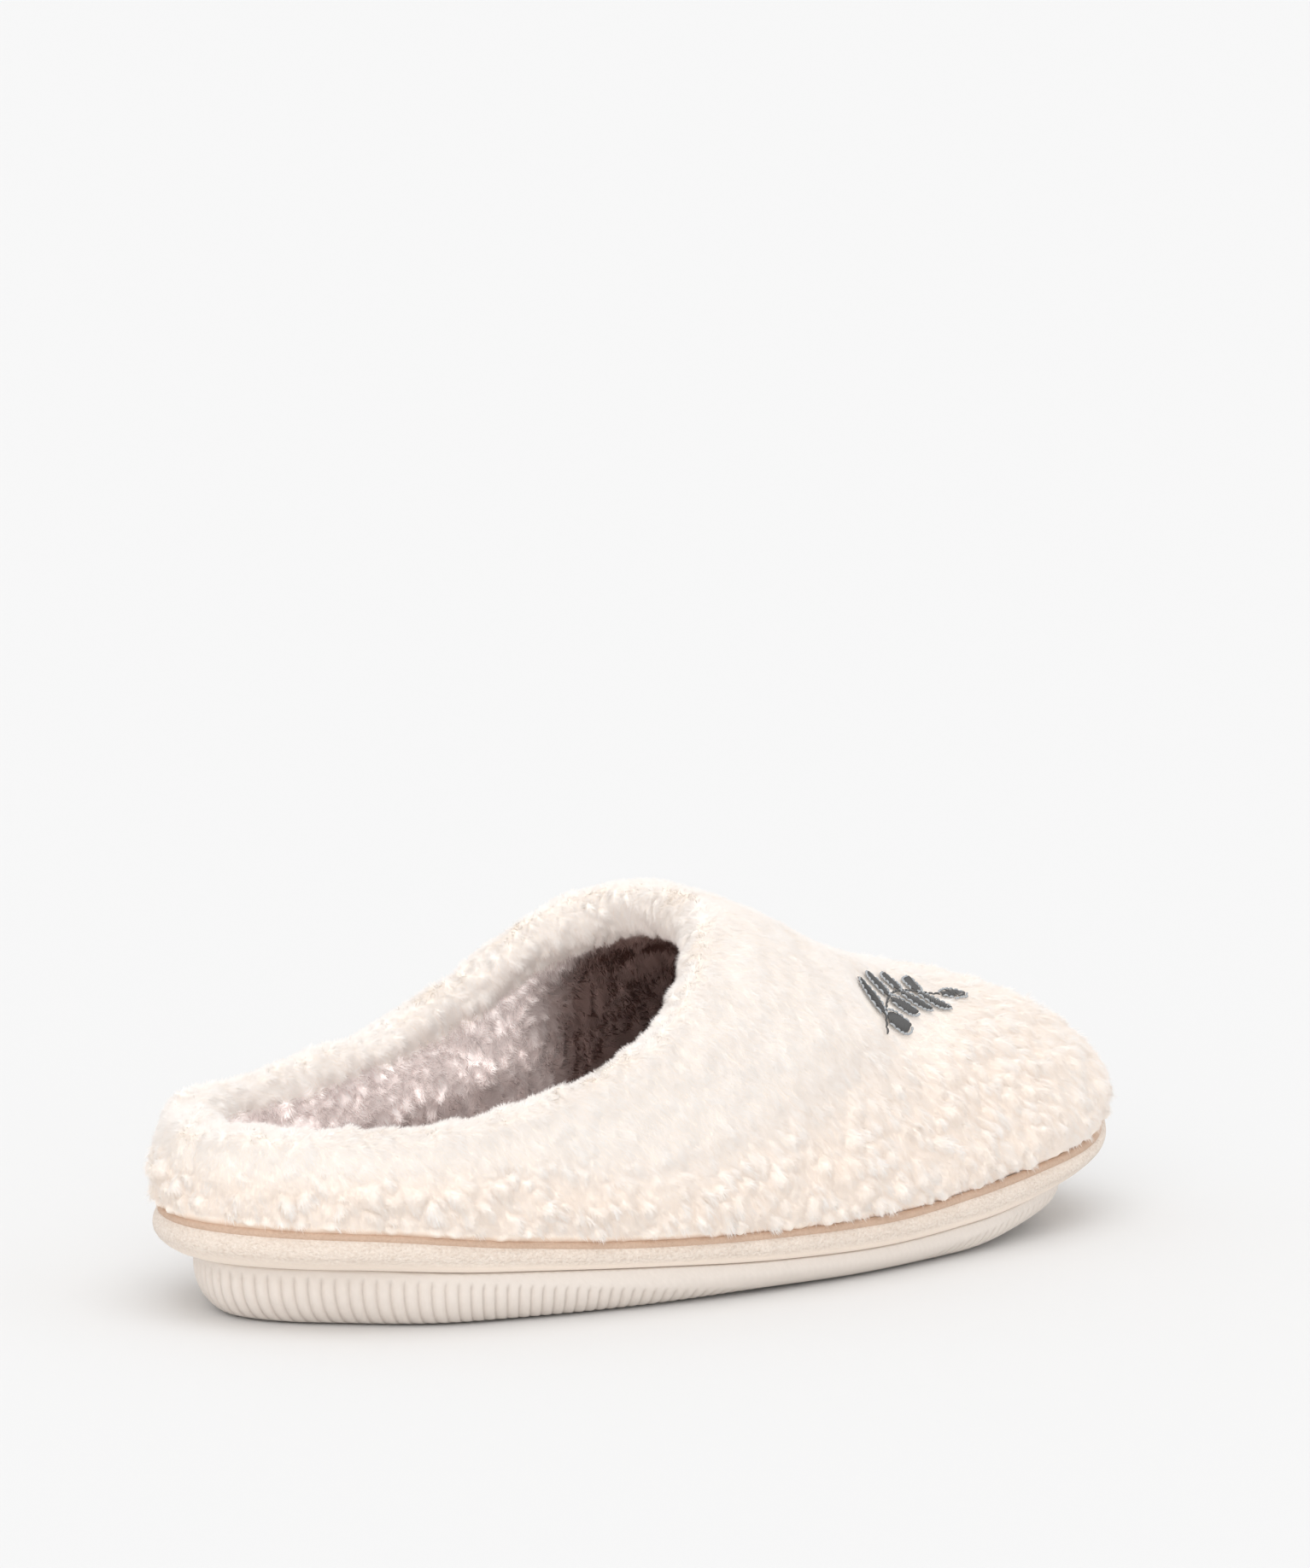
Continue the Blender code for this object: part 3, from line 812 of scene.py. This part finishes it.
bpy.ops.object.select_all(action="DESELECT")
bpy.ops.mesh.primitive_circle_add(vertices=HAIR_CORNERS, fill_type="NGON")
hair = bpy.context.object
hair_points = coordinates(hair)
hair_low, hair_high = hair_points.min(0)[:2], hair_points.max(0)[:2]
HAIR_SHAPE = (hair_points[:, :2] - hair_low) / (hair_high - hair_low) - (0.5, 0)


def triangles(piece):
    piece.data.calc_loop_triangles()
    return read(piece.data.loop_triangles, "vertices", 3, int)


def scattered(piece, weights, count, seed):
    """Random spots on a piece: their place, their normal and their place on the flat cloth."""
    draw = np.random.default_rng(seed)
    corners = triangles(piece)
    points, flat = coordinates(piece), cloth_places(piece)
    a, b, c = (points[corners[:, i]] for i in range(3))
    area = np.linalg.norm(np.cross(b - a, c - a), axis=1)
    chance = area * np.maximum(weights[corners].mean(1), 0)
    chosen = draw.choice(len(corners), count, p=chance / chance.sum())
    first, second = draw.random(count), draw.random(count)
    fold = first + second > 1
    first, second = np.where(fold, 1 - first, first), np.where(fold, 1 - second, second)
    share = np.stack([1 - first - second, first, second], -1)[..., None]
    here = corners[chosen]
    mixed = [(values[here] * share).sum(1) for values in (points, normals(piece))]
    return mixed[0], unit(mixed[1]), flat[here[:, 0]]


def lay_out_for_bake(piece, shade):
    """Gives hairs of one shade the same cell of a map, foot to tip."""
    corners = read(piece.data.loops, "vertex_index", kind=int)
    rank = shade.argsort().argsort()
    cell = (rank * BAKE_COLUMNS * BAKE_STACKS // len(shade))[corners // HAIR_CORNERS]
    x, y = HAIR_SHAPE[corners % HAIR_CORNERS].T
    u = (cell % BAKE_COLUMNS + 0.5 + CELL_FILL * x) / BAKE_COLUMNS
    v = (cell // BAKE_COLUMNS + (1 - CELL_FILL) / 2 + CELL_FILL * y) / BAKE_STACKS
    bake_map = piece.data.uv_layers.new(name=BAKE_MAP)
    bake_map.uv.foreach_set("vector", np.stack([u, v], -1).reshape(-1))


def varied(draw, middle, spread, count):
    """Sizes spread evenly round a middle size. spread is a share of it."""
    return middle * (1 - spread / 2 + spread * draw.random(count))


def leaning(draw, middle, spread, least, most, count):
    """How far each hair leans over, from 0 for upright to 1 for flat."""
    return np.clip(middle + spread * draw.normal(0, 1, count), least, most)


def grow_hairs(name, roots, facing, lay, lean, length, width, gap_shade, deep, seed):
    """Sets one hair at each root. lay is where it points along the cloth."""
    draw = np.random.default_rng(seed)
    lay = unit(lay - (lay * facing).sum(1)[:, None] * facing)
    low = unit(facing * (1 - lean)[:, None] + lay * lean[:, None])
    side = unit(np.cross(low, facing)) * width[:, None]
    reach = low * length[:, None]
    x, y = (column[None, :, None] for column in HAIR_SHAPE.T)
    piece = copied(name, hair, roots[:, None] + side[:, None] * x + reach[:, None] * y)
    soft = unit(facing + SOFT_LEAN * lay)
    piece.data.normals_split_custom_set_from_vertices(np.repeat(soft, HAIR_CORNERS, axis=0))
    paint(piece, "tip", np.tile(HAIR_SHAPE[:, 1], len(roots)))
    # Painted shade: the gap mark and the mark under the vamp that are painted here darken each hair's
    # colour.
    for key, values in (("tone", draw.random(len(roots))), ("gap_shade", gap_shade), ("deep", deep)):
        paint(piece, key, np.repeat(values, HAIR_CORNERS))
    lay_out_for_bake(piece, gap_shade + 2 * deep)
    return piece


# %% [markdown]
# The cream pile is three pieces: the shaggy sides, the brushed vamp, and the short pile that goes
# over the edge and a finger's width down inside it.

# %% Cream pile
CREAM_PILE = (
    # name, from_row, to_row, hairs, length, width, lock_pull, lean, seed
    ("pile_sides", 0.0, 0.52, 190000, 0.0021, 0.00016, 0.32, 0.68, 11),
    ("pile_vamp", 0.48, 1.0, 180000, 0.0015, 0.00015, 0.15, 0.66, 12),
    ("pile_cuff", 1.0, 1.50, 130000, 0.0016, 0.00015, 0.25, 0.62, 13),
)

ROW_FADE = 0.04
CREASE_CLEAR, CREASE_WANDER = 0.0024, 0.0012
SWIRL_SCALE, SWIRL, STRAY = 0.011, 0.5, 0.14
LOCK_TIP, LOCK_GATHER = 0.45, 1.2
LEAN_RANGE = (0.12, 0.3, 0.92)
SIZE_SPREAD = 0.4
PRESSED_LOSS, GAP_LOSS = 0.5, 0.4
PILE_FOOT, PILE_TIP, PILE_GAP_SHADE = (0.91, 0.85, 0.80), (0.92, 0.885, 0.86), (0.89, 0.785, 0.70)

# The pile carries the same painted glow as the fleece.
pile = Finish("cream_pile", PILE_TIP, **PILE_SHINE, **PAINTED_PILE_GLOW)
pile_tip, pile_tone = pile.attribute("tip"), pile.attribute("tone")
pile_shade = (0.5 - pile_tip * 0.5 + (pile_tone - 0.5) * 0.1).clamped()
pile_light = pile.blend(pile_shade, PILE_TIP, PILE_FOOT)
# Painted shade: the pile's colour darkens to peach in the gaps between locks.
between = (pile.attribute("gap_shade") * 0.9).clamped()
pile.drive("Base Color", pile.blend(between, pile_light, PILE_GAP_SHADE))


def cream_hairs(name, from_row, to_row, count, length, width, lock_pull, lean, seed):
    height = cloth_places(upper)[:, 1]
    rows = height / RIM_START
    fade_in = ramp(rows, from_row - ROW_FADE, 2 * ROW_FADE)
    fade_out = ramp(rows, to_row + ROW_FADE, -2 * ROW_FADE)
    clear = lift_over_crease(coordinates(upper)) > CREASE_CLEAR + CREASE_WANDER * ripples
    weights = fade_in * fade_out * (height <= CUFF_END) * clear
    roots, facing, flat = scattered(upper, weights, count, seed)
    draw = np.random.default_rng(seed + 100)
    gap, lock_middle = locks(roots)
    gap = hollowed(gap, shagginess(flat, roots))
    lay = LAY + SWIRL * wander(roots, SWIRL_SCALE, 5) + STRAY * draw.normal(0, 1, (count, 3))
    towards = unit(lock_middle + LAY * LOCK_LENGTH * LOCK_TIP - roots)
    lay = lay * (1 - lock_pull) + towards * lock_pull * LOCK_GATHER
    flatness = leaning(draw, lean, *LEAN_RANGE, count)
    size = varied(draw, length, SIZE_SPREAD, count)
    size = size * (1 - PRESSED_LOSS * pressed(roots)) * (1 - GAP_LOSS * gap)
    broad = varied(draw, width, SIZE_SPREAD, count)
    hairs = grow_hairs(name, roots, facing, lay, flatness, size, broad, gap, 0 * gap, seed + 200)
    hairs.data.materials.append(pile.material)


for row in CREAM_PILE:
    cream_hairs(*row)

# %% [markdown]
# The vamp carries a small machine-stitched motif. Here it is a plain pair of sprigs, each the
# other's mirror image: a stem with paired leaves, filled with satin stitch in dark grey and edged
# with a silver thread. A painted motif would look flat, so it is sewn. One stitch is a UV sphere
# drawn out long. Each copy is laid between two spots of the cloth and arched over it.

# %% The stitched sprigs
STEM_LENGTH, STEM_BOW = 0.038, 0.0045
LEAF_LENGTH, LEAF_HALF_WIDTH = 0.0085, 0.0018
LEAF_SHARES = (0.12, 0.34, 0.56, 0.78)
LEAF_ANGLE = math.radians(42)
SATIN_STITCHES, EDGE_STITCHES, STEM_STITCHES = 15, 7, 20
THREAD_WIDTH, THREAD_HEIGHT = 0.00062, 0.00050
STITCH_CLEARANCE, STITCH_ARCH, STITCH_OVERLAP = 0.0006, 0.8, 1.12
LEAF_FULLNESS, SATIN_SLANT, EDGE_GAP = 0.8, 0.0004, 0.0003
SATIN_SPAN, EDGE_SPAN = (0.12, 0.95), (0.06, 1.0)
STEM_AHEAD = 0.02
ABOVE_VAMP = 0.2
GREY_THREAD, SILVER_THREAD = (0.075, 0.073, 0.072), (0.40, 0.42, 0.44)


def stem_spot(share):
    share = np.asarray(share)
    bow = STEM_BOW * (4 * share * (1 - share) - 0.5)
    return np.stack([STEM_LENGTH * (share - 0.5), bow], -1)


def leaf_stitches(share, side):
    """Satin stitches across a leaf, and running stitches round its edge."""
    root, ahead_of_it = stem_spot(share), stem_spot(share + STEM_AHEAD)
    heading = math.atan2(*(ahead_of_it - root)[::-1]) + side * LEAF_ANGLE
    axes = turned_axes(heading)
    t = np.linspace(*SATIN_SPAN, SATIN_STITCHES)
    width = LEAF_HALF_WIDTH * np.sin(np.pi * t) ** LEAF_FULLNESS
    left = np.stack([LEAF_LENGTH * t + SATIN_SLANT, width], -1) @ axes + root
    right = np.stack([LEAF_LENGTH * t - SATIN_SLANT, -width], -1) @ axes + root
    t = np.linspace(*EDGE_SPAN, EDGE_STITCHES + 1)
    width = LEAF_HALF_WIDTH * np.sin(np.pi * t) ** LEAF_FULLNESS + EDGE_GAP
    edges = [np.stack([LEAF_LENGTH * t, way * width], -1) @ axes + root for way in (-1, 1)]
    return np.stack([left, right], 1), np.concatenate([np.stack([e[:-1], e[1:]], 1) for e in edges])


def on_cloth(spots):
    """The place and normal of the cloth under each spot of the motif's plane."""
    places, facings = [], []
    outer_sprig = spots @ MOTIF_AXES + MOTIF_MIDDLE
    for x, y in np.concatenate([outer_sprig, outer_sprig * (1, -1)]):
        _, place, facing, _ = upper.ray_cast(Vector((x, y, ABOVE_VAMP)), Vector((0, 0, -1)))
        places.append(place)
        facings.append(facing)
    return np.array(places), np.array(facings)


def sew(name, stitches, thread):
    """Lays a copy of the stitch between both ends of each row of stitches."""
    start, first_facing = on_cloth(stitches[:, 0])
    end, second_facing = on_cloth(stitches[:, 1])
    facing = unit(first_facing + second_facing)[:, None]
    middle = (start + end)[:, None] / 2 + facing * STITCH_CLEARANCE
    along = (end - start)[:, None]
    side = np.cross(facing, unit(along))
    x, y, z = (column[None, :, None] for column in coordinates(stitch).T)
    arch = facing * (THREAD_HEIGHT * (y + STITCH_ARCH * (1 - 4 * z**2)))
    across = side * (THREAD_WIDTH * x)
    sewn = copied(name, stitch, middle + along * (z * STITCH_OVERLAP) + across + arch)
    sewn.data.materials.append(thread.material)


bpy.ops.object.select_all(action="DESELECT")
bpy.ops.mesh.primitive_uv_sphere_add(segments=6, ring_count=5, radius=0.5)
stitch = bpy.context.object
leaves = [leaf_stitches(share, side) for share in LEAF_SHARES for side in (-1, 1)]
leaves.append(leaf_stitches(1.0, 0))
stem = stem_spot(np.linspace(0, 1, STEM_STITCHES + 1))
stem = np.stack([stem[:-1], stem[1:]], 1)
grey_thread = Finish("grey_thread", GREY_THREAD, Roughness=0.45)
silver_thread = Finish("silver_thread", SILVER_THREAD, Roughness=0.35, Metallic=0.3)
bpy.context.view_layer.update()
sew("satin_stitches", np.concatenate([satin for satin, _ in leaves] + [stem]), grey_thread)
sew("edge_stitches", np.concatenate([edge for _, edge in leaves]), silver_thread)
bpy.data.objects.remove(stitch)

# %% [markdown]
# The lining is a mauve plush. Its hairs are straighter, with paler tips, and it is brushed in swirls
# that catch the light on the far wall. Colour alone would leave the wall flat, so the swirls are in
# the lie of the hairs. Its colour also carries painted light and shade: the hair tips glow, the gaps
# between swirls are darker, and the pile is darker under the vamp and low on the walls.

# %% Lining pile
LINING_HAIRS = 130000
LINING_LAY = np.array((-0.6, 0, 0.5))
LINING_SWIRL_SCALE, LINING_STRAY = 0.009, 0.2
LINING_PULL, LINING_GATHER, LINING_SHIFT = 0.5, 0.6, 0.002
LINING_LEAN = (0.55, 0.15, 0.3, 0.9)
LINING_LENGTH, LINING_WIDTH = 0.0024, 0.00022
PLUSH_SPREAD = 0.5
UNSEEN_ZONE, UNSEEN_LOSS = (0.03, 0.03), 0.8
MAUVE_FOOT, MAUVE_TIP = (0.74, 0.655, 0.635), (0.98, 0.95, 0.945)
LINING_SHINE = {"Roughness": 0.85, "Specular IOR Level": 0.2}

# The lining pile's emission carries painted light.
lining = Finish("mauve_pile", MAUVE_FOOT, Emission_Strength=1.0, **LINING_SHINE)
lining_tip, lining_tone = lining.attribute("tip"), lining.attribute("tone")
# Painted shade: the gaps between the lining's swirls darken its colour and dim its glow.
lining_gap_shade = lining.attribute("gap_shade")
lining_light = (lining_tip * 0.6 + lining_tone * 0.3 + 0.2 - lining_gap_shade * 0.5).clamped()
mauve = lining.blend(lining_light, MAUVE_FOOT, MAUVE_TIP)
# Painted shade: the lining pile darkens under the vamp and low on the walls.
vamp_shade_share = lining.attribute("deep")
lining.drive("Base Color", lining.blend(vamp_shade_share, mauve, PAINTED_SHADE_MAUVE))
# Painted light: hair tips glow, least in the gaps, under the vamp and low on the walls.
painted_tip_glow = ((1 - vamp_shade_share) * (1 - lining_gap_shade * 0.7) * (lining_tip * 0.7 + 0.5)).clamped()
lining.drive("Emission Color", lining.blend(painted_tip_glow, NO_GLOW, PAINTED_LINING_GLOW))

rows = cloth_places(upper)[:, 1]
weights = (rows >= CUFF_END) * smooth_step((1.0 - rows) * ROW_COUNT / 2)
weights = weights * (1 - UNSEEN_LOSS * ramp(coordinates(upper)[:, 0], *UNSEEN_ZONE))
roots, facing, flat = scattered(upper, weights, LINING_HAIRS, 21)
draw = np.random.default_rng(22)
swirl = wander(roots, LINING_SWIRL_SCALE, 8)
gap, lock_middle = locks(roots)
lay = LINING_LAY + swirl + LINING_STRAY * draw.normal(0, 1, (LINING_HAIRS, 3))
lay = LINING_PULL * lay + LINING_GATHER * unit(lock_middle + LINING_SHIFT * swirl - roots)
flatness = leaning(draw, *LINING_LEAN, LINING_HAIRS)
size = varied(draw, LINING_LENGTH, PLUSH_SPREAD, LINING_HAIRS)
broad = varied(draw, LINING_WIDTH, SIZE_SPREAD, LINING_HAIRS)
# Painted shade: how dark each lining hair is painted under the vamp and low on the walls.
deep = plush_shade_share(roots, flat)
lining_pile = grow_hairs("pile_lining", roots, facing, lay, flatness, size, broad, gap, deep, 23)
lining_pile.data.materials.append(lining.material)

# %% [markdown]
# Insole, footbed and outsole are solids with a foot's outline. An extruded outline would leave
# large flat ends that round badly. So each is one cloth too: it starts on the middle line
# underneath, goes out to the edge, round it, and back to the middle line on top, where its two
# sides meet.


# %% Solids with a foot's outline
def capped(rings, steps):
    """Adds rows to both ends of a stack of paired rings, so that they close on the middle line."""
    closed = []
    for ring, order in ((rings[0], 1), (rings[-1], -1)):
        partner = np.roll(ring[::-1], 1, 0)
        middle = (ring + partner) / 2
        shares = np.linspace(0, 1, steps + 1)[:-1]
        closed.append([middle + (ring - middle) * s for s in shares[::order]])
    return np.stack([*closed[0], *rings, *closed[1]])


INSOLE_THICKNESS = 0.0050
INSOLE_POINTS, INSOLE_CAP_ROWS = 200, 14
BOTTOM_PLACE = np.array([[0.0, 1.0]])
INSOLE_INSET = CREASE_INSET + WALL_BASE + 0.0010
INSOLE_EDGE = (
    # height, inset
    (0.00, 0.0009),
    (0.50, 0.0000),
    (0.85, 0.0007),
    (1.00, 0.0022),
    (1.00, 0.0060),
)
rings = []
for height, inset in INSOLE_EDGE:
    loop = paired_loop(moved_in(plan, INSOLE_INSET + inset), INSOLE_POINTS)
    rings.append(at_height(loop, side_height(3, loop[:, 0]) + SEAM_GAP + height * INSOLE_THICKNESS))
insole = laid_cloth("plush_insole", capped(rings, INSOLE_CAP_ROWS))
insole.data.materials.append(plush.material)
# Painted shade: the insole is painted darker, most of all under the vamp.
paint(insole, "deep", plush_shade_share(coordinates(insole), BOTTOM_PLACE))
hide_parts("insole")
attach(insole, "root")

INSOLE_HAIRS = 36000
INSOLE_LAY = np.array((1.0, 0.2, 0))
INSOLE_SWIRL_SCALE, INSOLE_SWIRL, INSOLE_STRAY = 0.014, 0.8, 0.2
INSOLE_LEAN = (0.72, 0.1, 0.5, 0.92)
INSOLE_HAIR_LENGTH, INSOLE_HAIR_WIDTH = 0.0020, 0.00026
UPWARD_ZONE = (0.3, 0.3)
HIDDEN_ZONE, HIDDEN_LOSS = (0.02, 0.04), 0.6
weights = ramp(normals(insole)[:, 2], *UPWARD_ZONE)
weights = weights * (1 - HIDDEN_LOSS * ramp(coordinates(insole)[:, 0], *HIDDEN_ZONE))
roots, facing, _ = scattered(insole, weights, INSOLE_HAIRS, 31)
draw = np.random.default_rng(32)
lay = INSOLE_LAY + INSOLE_SWIRL * wander(roots, INSOLE_SWIRL_SCALE, 9)
lay = lay + INSOLE_STRAY * draw.normal(0, 1, (INSOLE_HAIRS, 3))
flatness = leaning(draw, *INSOLE_LEAN, INSOLE_HAIRS)
size = varied(draw, INSOLE_HAIR_LENGTH, PLUSH_SPREAD, INSOLE_HAIRS)
broad = varied(draw, INSOLE_HAIR_WIDTH, SIZE_SPREAD, INSOLE_HAIRS)
# Painted shade: the insole's hairs are painted darker, most of all under the vamp.
deep = plush_shade_share(roots, BOTTOM_PLACE)
insole_pile = grow_hairs("pile_insole", roots, facing, lay, flatness, size, broad, 0 * size, deep, 33)
insole_pile.data.materials.append(lining.material)
bpy.data.objects.remove(hair)

# %% [markdown]
# The footbed is a foam bed with jersey pulled round its edge. The knit is fine, so it is drawn in the
# material's colour and bump. Below the widest line a smoother band of the same cloth is turned under.

# %% The wrapped footbed
WIDEST_SHARE = 0.55
ROLL_STEPS = 14
BED_POINTS, BED_CAP_ROWS = 360, 3
SOLE_OVERHANG = 0.0088
WRAP_CREASE_SHADE_ZONE = (ROLL_STEPS - 2.4, 2.0)
BAND_ZONE = (4.6, 0.8)
KNIT_PALE, KNIT_DARK, BAND_CREAM = (0.89, 0.79, 0.70), (0.68, 0.55, 0.45), (0.96, 0.83, 0.715)


def sole_inset(x):
    return SOLE_OVERHANG * table_curve(OVERHANG_TABLE, 1, station(x))


rings = []
for roll in np.linspace(-math.pi / 2, math.pi / 2, ROLL_STEPS + 1):
    reach, rise = 1 - math.cos(roll), math.sin(roll)
    inset = reach * (sole_inset(plan[:, 0]) if roll < 0 else CREASE_INSET)
    loop = paired_loop(moved_in(plan, inset), BED_POINTS)
    bottom, crease = side_height(2, loop[:, 0]) + SEAM_GAP, side_height(3, loop[:, 0])
    widest = bottom + (crease - bottom) * WIDEST_SHARE
    z = widest + rise * ((widest - bottom) if roll < 0 else (crease - widest))
    rings.append(at_height(loop, z))
footbed = laid_cloth("footbed_wrap", capped(rings, BED_CAP_ROWS))
edge_rows = cloth_places(footbed)[:, 1] * (ROLL_STEPS + 2 * BED_CAP_ROWS) - BED_CAP_ROWS
# Painted shade: the top of the jersey wrap is marked tan at the crease, where shadow falls.
paint(footbed, "crease", ramp(edge_rows, *WRAP_CREASE_SHADE_ZONE))
paint(footbed, "turned_under", 1 - ramp(edge_rows, *BAND_ZONE))
jersey = Finish("cream_jersey", KNIT_PALE, Roughness=0.85, Sheen_Weight=0.2)
knit = jersey.noise(jersey.places((1.0, 1.0, 1.5)), 1.3, 4.0)
streaks = jersey.noise(jersey.places((0.05, 0.05, 1.2)), 1.0)
jersey_shade = (knit * 1.6 + streaks * 0.4 - 0.65).clamped()
band = jersey.attribute("turned_under")
knitted = jersey.blend(jersey_shade, KNIT_PALE, KNIT_DARK)
wrapped = jersey.blend(band, knitted, BAND_CREAM)
# Painted shade: the crease mark turns the jersey tan.
jersey.drive("Base Color", jersey.blend(jersey.attribute("crease"), wrapped, CREASE_SHADE_TAN))
jersey.bump(knit * (1 - band * 0.8), 0.0006, 0.9)
footbed.data.materials.append(jersey.material)
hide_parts("footbed")
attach(footbed, "root")

# %% [markdown]
# Where the fleece meets the footbed, a dark tan tube is laid in the crease as painted shadow, a thing
# put where there is only shade. Only a narrow roll of it shows, tucked in the crease. A bevelled
# curve would do, but a tube of cloth laid along the crease line keeps exactly to the footbed's
# outline.

# %% The crease shadow tube
SHADOW_TUBE_RADIUS, SHADOW_TUBE_STEPS = 0.0012, 8
SHADOW_TUBE_OUT = 0.0004
SHADOW_TUBE_INSET = CREASE_INSET - SHADOW_TUBE_OUT
CREASE_SHADOW_DARK, CREASE_SHADOW_PALE = (0.54, 0.37, 0.265), (0.72, 0.53, 0.41)
rings = []
for turn in np.linspace(0, -2 * math.pi, SHADOW_TUBE_STEPS + 1):
    loop = paired_loop(moved_in(plan, SHADOW_TUBE_INSET - SHADOW_TUBE_RADIUS * math.cos(turn)), BED_POINTS)
    rings.append(at_height(loop, side_height(3, loop[:, 0]) + SHADOW_TUBE_RADIUS * math.sin(turn)))
shadow_tube = laid_cloth("crease_shadow_tube", np.stack(rings), levels=1)
# Painted shadow: the tube's mottled tan stands in for the shade in the crease.
crease_shadow_finish = Finish("crease_shadow_tan", CREASE_SHADE_TAN, Roughness=0.9)
crease_shadow_mottle = crease_shadow_finish.noise(crease_shadow_finish.places(), 1.6, 3.0)
crease_shadow_finish.drive("Base Color", crease_shadow_finish.blend(crease_shadow_mottle, CREASE_SHADOW_DARK, CREASE_SHADOW_PALE))
crease_shadow_finish.bump(crease_shadow_mottle, 0.0004, 0.8)
shadow_tube.data.materials.append(crease_shadow_finish.material)
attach(shadow_tube, "root")

# %% [markdown]
# The outsole is moulded. Its side has a fine twill band above, copied from a woven mould, and rounded
# ribs below that run under the edge. Each rib is a soft half-round with a narrow groove between it
# and the next, and the grooves are painted darker, as shade. The twill is too fine for anything but
# bump. The ribs show on the outline, so they are real.

# %% The outsole
RIB_DEPTH, RIB_ROUNDNESS, RIB_HEAD = 0.0008, 0.55, 0.14
SOLE_TUCK = 0.0078
TUCK_TOP = 0.78
RIB_COUNT = 196
RIB_COLUMNS = 8
SOLE_COLUMNS = RIB_COUNT * RIB_COLUMNS
RIB_TABLE = (
    # station, height
    (0.00, 0.92),
    (0.15, 0.88),
    (0.30, 0.66),
    (0.42, 0.34),
    (0.52, 0.04),
    (0.62, 0.04),
    (0.70, 0.50),
    (0.80, 0.78),
    (0.90, 0.80),
    (0.97, 0.10),
    (1.00, 0.00),
)
SOLE_ROWS = np.linspace(0, 1, 19)
CAP_ROWS = 2
TWILL_ZONE = (0.3, 0.4)
RUBBER_PALE, RUBBER_WARM, GROOVE_SHADE_TAN = (0.84, 0.765, 0.70), (0.77, 0.695, 0.63), (0.55, 0.45, 0.38)
GROOVE_SHADE_STRENGTH = 0.25
rib_phase = np.arange(SOLE_COLUMNS) / RIB_COLUMNS
rib_round = np.abs(np.sin(np.pi * rib_phase)) ** RIB_ROUNDNESS
rings, grooves = [], []
for row in SOLE_ROWS:
    tuck = SOLE_TUCK * (1 - math.sqrt(1 - max(0, 1 - row / TUCK_TOP) ** 2))
    loop = paired_loop(moved_in(plan, sole_inset(plan[:, 0]) + tuck), SOLE_COLUMNS)
    x = loop[:, 0]
    rib_height = table_curve(RIB_TABLE, 1, station(x))
    head = smooth_step((rib_height - row) / RIB_HEAD)
    grooves.append((1 - rib_round) * head)
    z = side_height(1, x) + (side_height(2, x) - side_height(1, x)) * row
    rings.append(at_height(moved_in(loop, RIB_DEPTH * grooves[-1]), z))
outsole = laid_cloth("ribbed_outsole", capped(rings, CAP_ROWS))
sole_places = cloth_places(outsole)
sole_row = np.rint(sole_places[:, 1] * (len(SOLE_ROWS) + 2 * CAP_ROWS - 1)).astype(int) - CAP_ROWS
sole_column = np.rint(sole_places[:, 0] * SOLE_COLUMNS).astype(int) % SOLE_COLUMNS
on_side = (sole_row >= 0) & (sole_row < len(SOLE_ROWS))
groove_shade_mask = np.array(grooves)[np.clip(sole_row, 0, len(SOLE_ROWS) - 1), sole_column] * on_side
# Painted shade: the grooves between ribs are marked to be coloured darker.
paint(outsole, "groove_shade", groove_shade_mask)
paint(outsole, "band", ramp(sole_row / (len(SOLE_ROWS) - 1), *TWILL_ZONE) * on_side)
rubber = Finish("beige_rubber", RUBBER_PALE, Roughness=0.6)
bands = {"wave_type": "BANDS", "bands_direction": "DIAGONAL"}
twill = rubber.node("ShaderNodeTexWave", bands, rubber.places(), 0.35)
grain = rubber.noise(rubber.places(), 0.7, 3.0)
pale = rubber.blend((grain * 0.8 - 0.1).clamped(), RUBBER_PALE, RUBBER_WARM)
# Painted shade: the rubber darkens to tan in the grooves between ribs.
groove_shade_share = rubber.attribute("groove_shade") * GROOVE_SHADE_STRENGTH
rubber.drive("Base Color", rubber.blend(groove_shade_share, pale, GROOVE_SHADE_TAN))
rubber.bump(twill * rubber.attribute("band") * 0.5 + grain * 0.4, 0.0002, 0.5)
outsole.data.materials.append(rubber.material)
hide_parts("outsole")
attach(outsole, "root")

# %% [markdown]
# The studio is a pale floor under an even white sky. One broad light stands overhead, and a second
# at the camera's left reaches over the near edge and down the far wall of the lining. Both are far
# away, so that the floor stays evenly lit.

# %% Floor and light
FLOOR_SIZE, FLOOR_GREY = 40, 0.73
SKY_STRENGTH = 0.93

bpy.ops.object.select_all(action="DESELECT")
bpy.ops.mesh.primitive_plane_add(size=FLOOR_SIZE)
floor = bpy.context.object
floor.name = "floor"
paper = Finish("floor_paper", (FLOOR_GREY,) * 3, Roughness=0.9)
floor.data.materials.append(paper.material)

world = bpy.data.worlds.new("studio")
scene.world = world
world.use_nodes = True
sky = world.node_tree.nodes["Background"]
sky.inputs["Color"].default_value = (1, 1, 1, 1)
sky.inputs["Strength"].default_value = SKY_STRENGTH


def soft_sun(name, place, spread, strength):
    """A far lamp that shines from place towards the slipper."""
    bpy.ops.object.light_add(type="SUN", location=place)
    lamp = bpy.context.object
    lamp.name = name
    lamp.data.angle = math.radians(spread)
    lamp.data.energy = strength
    lamp.rotation_euler = (-Vector(place)).to_track_quat("-Z", "Y").to_euler()


soft_sun("overhead_light", (-0.3, -0.4, 2.3), 50, 0.75)
soft_sun("front_light", (-1.9, -1.5, 1.25), 40, 0.75)
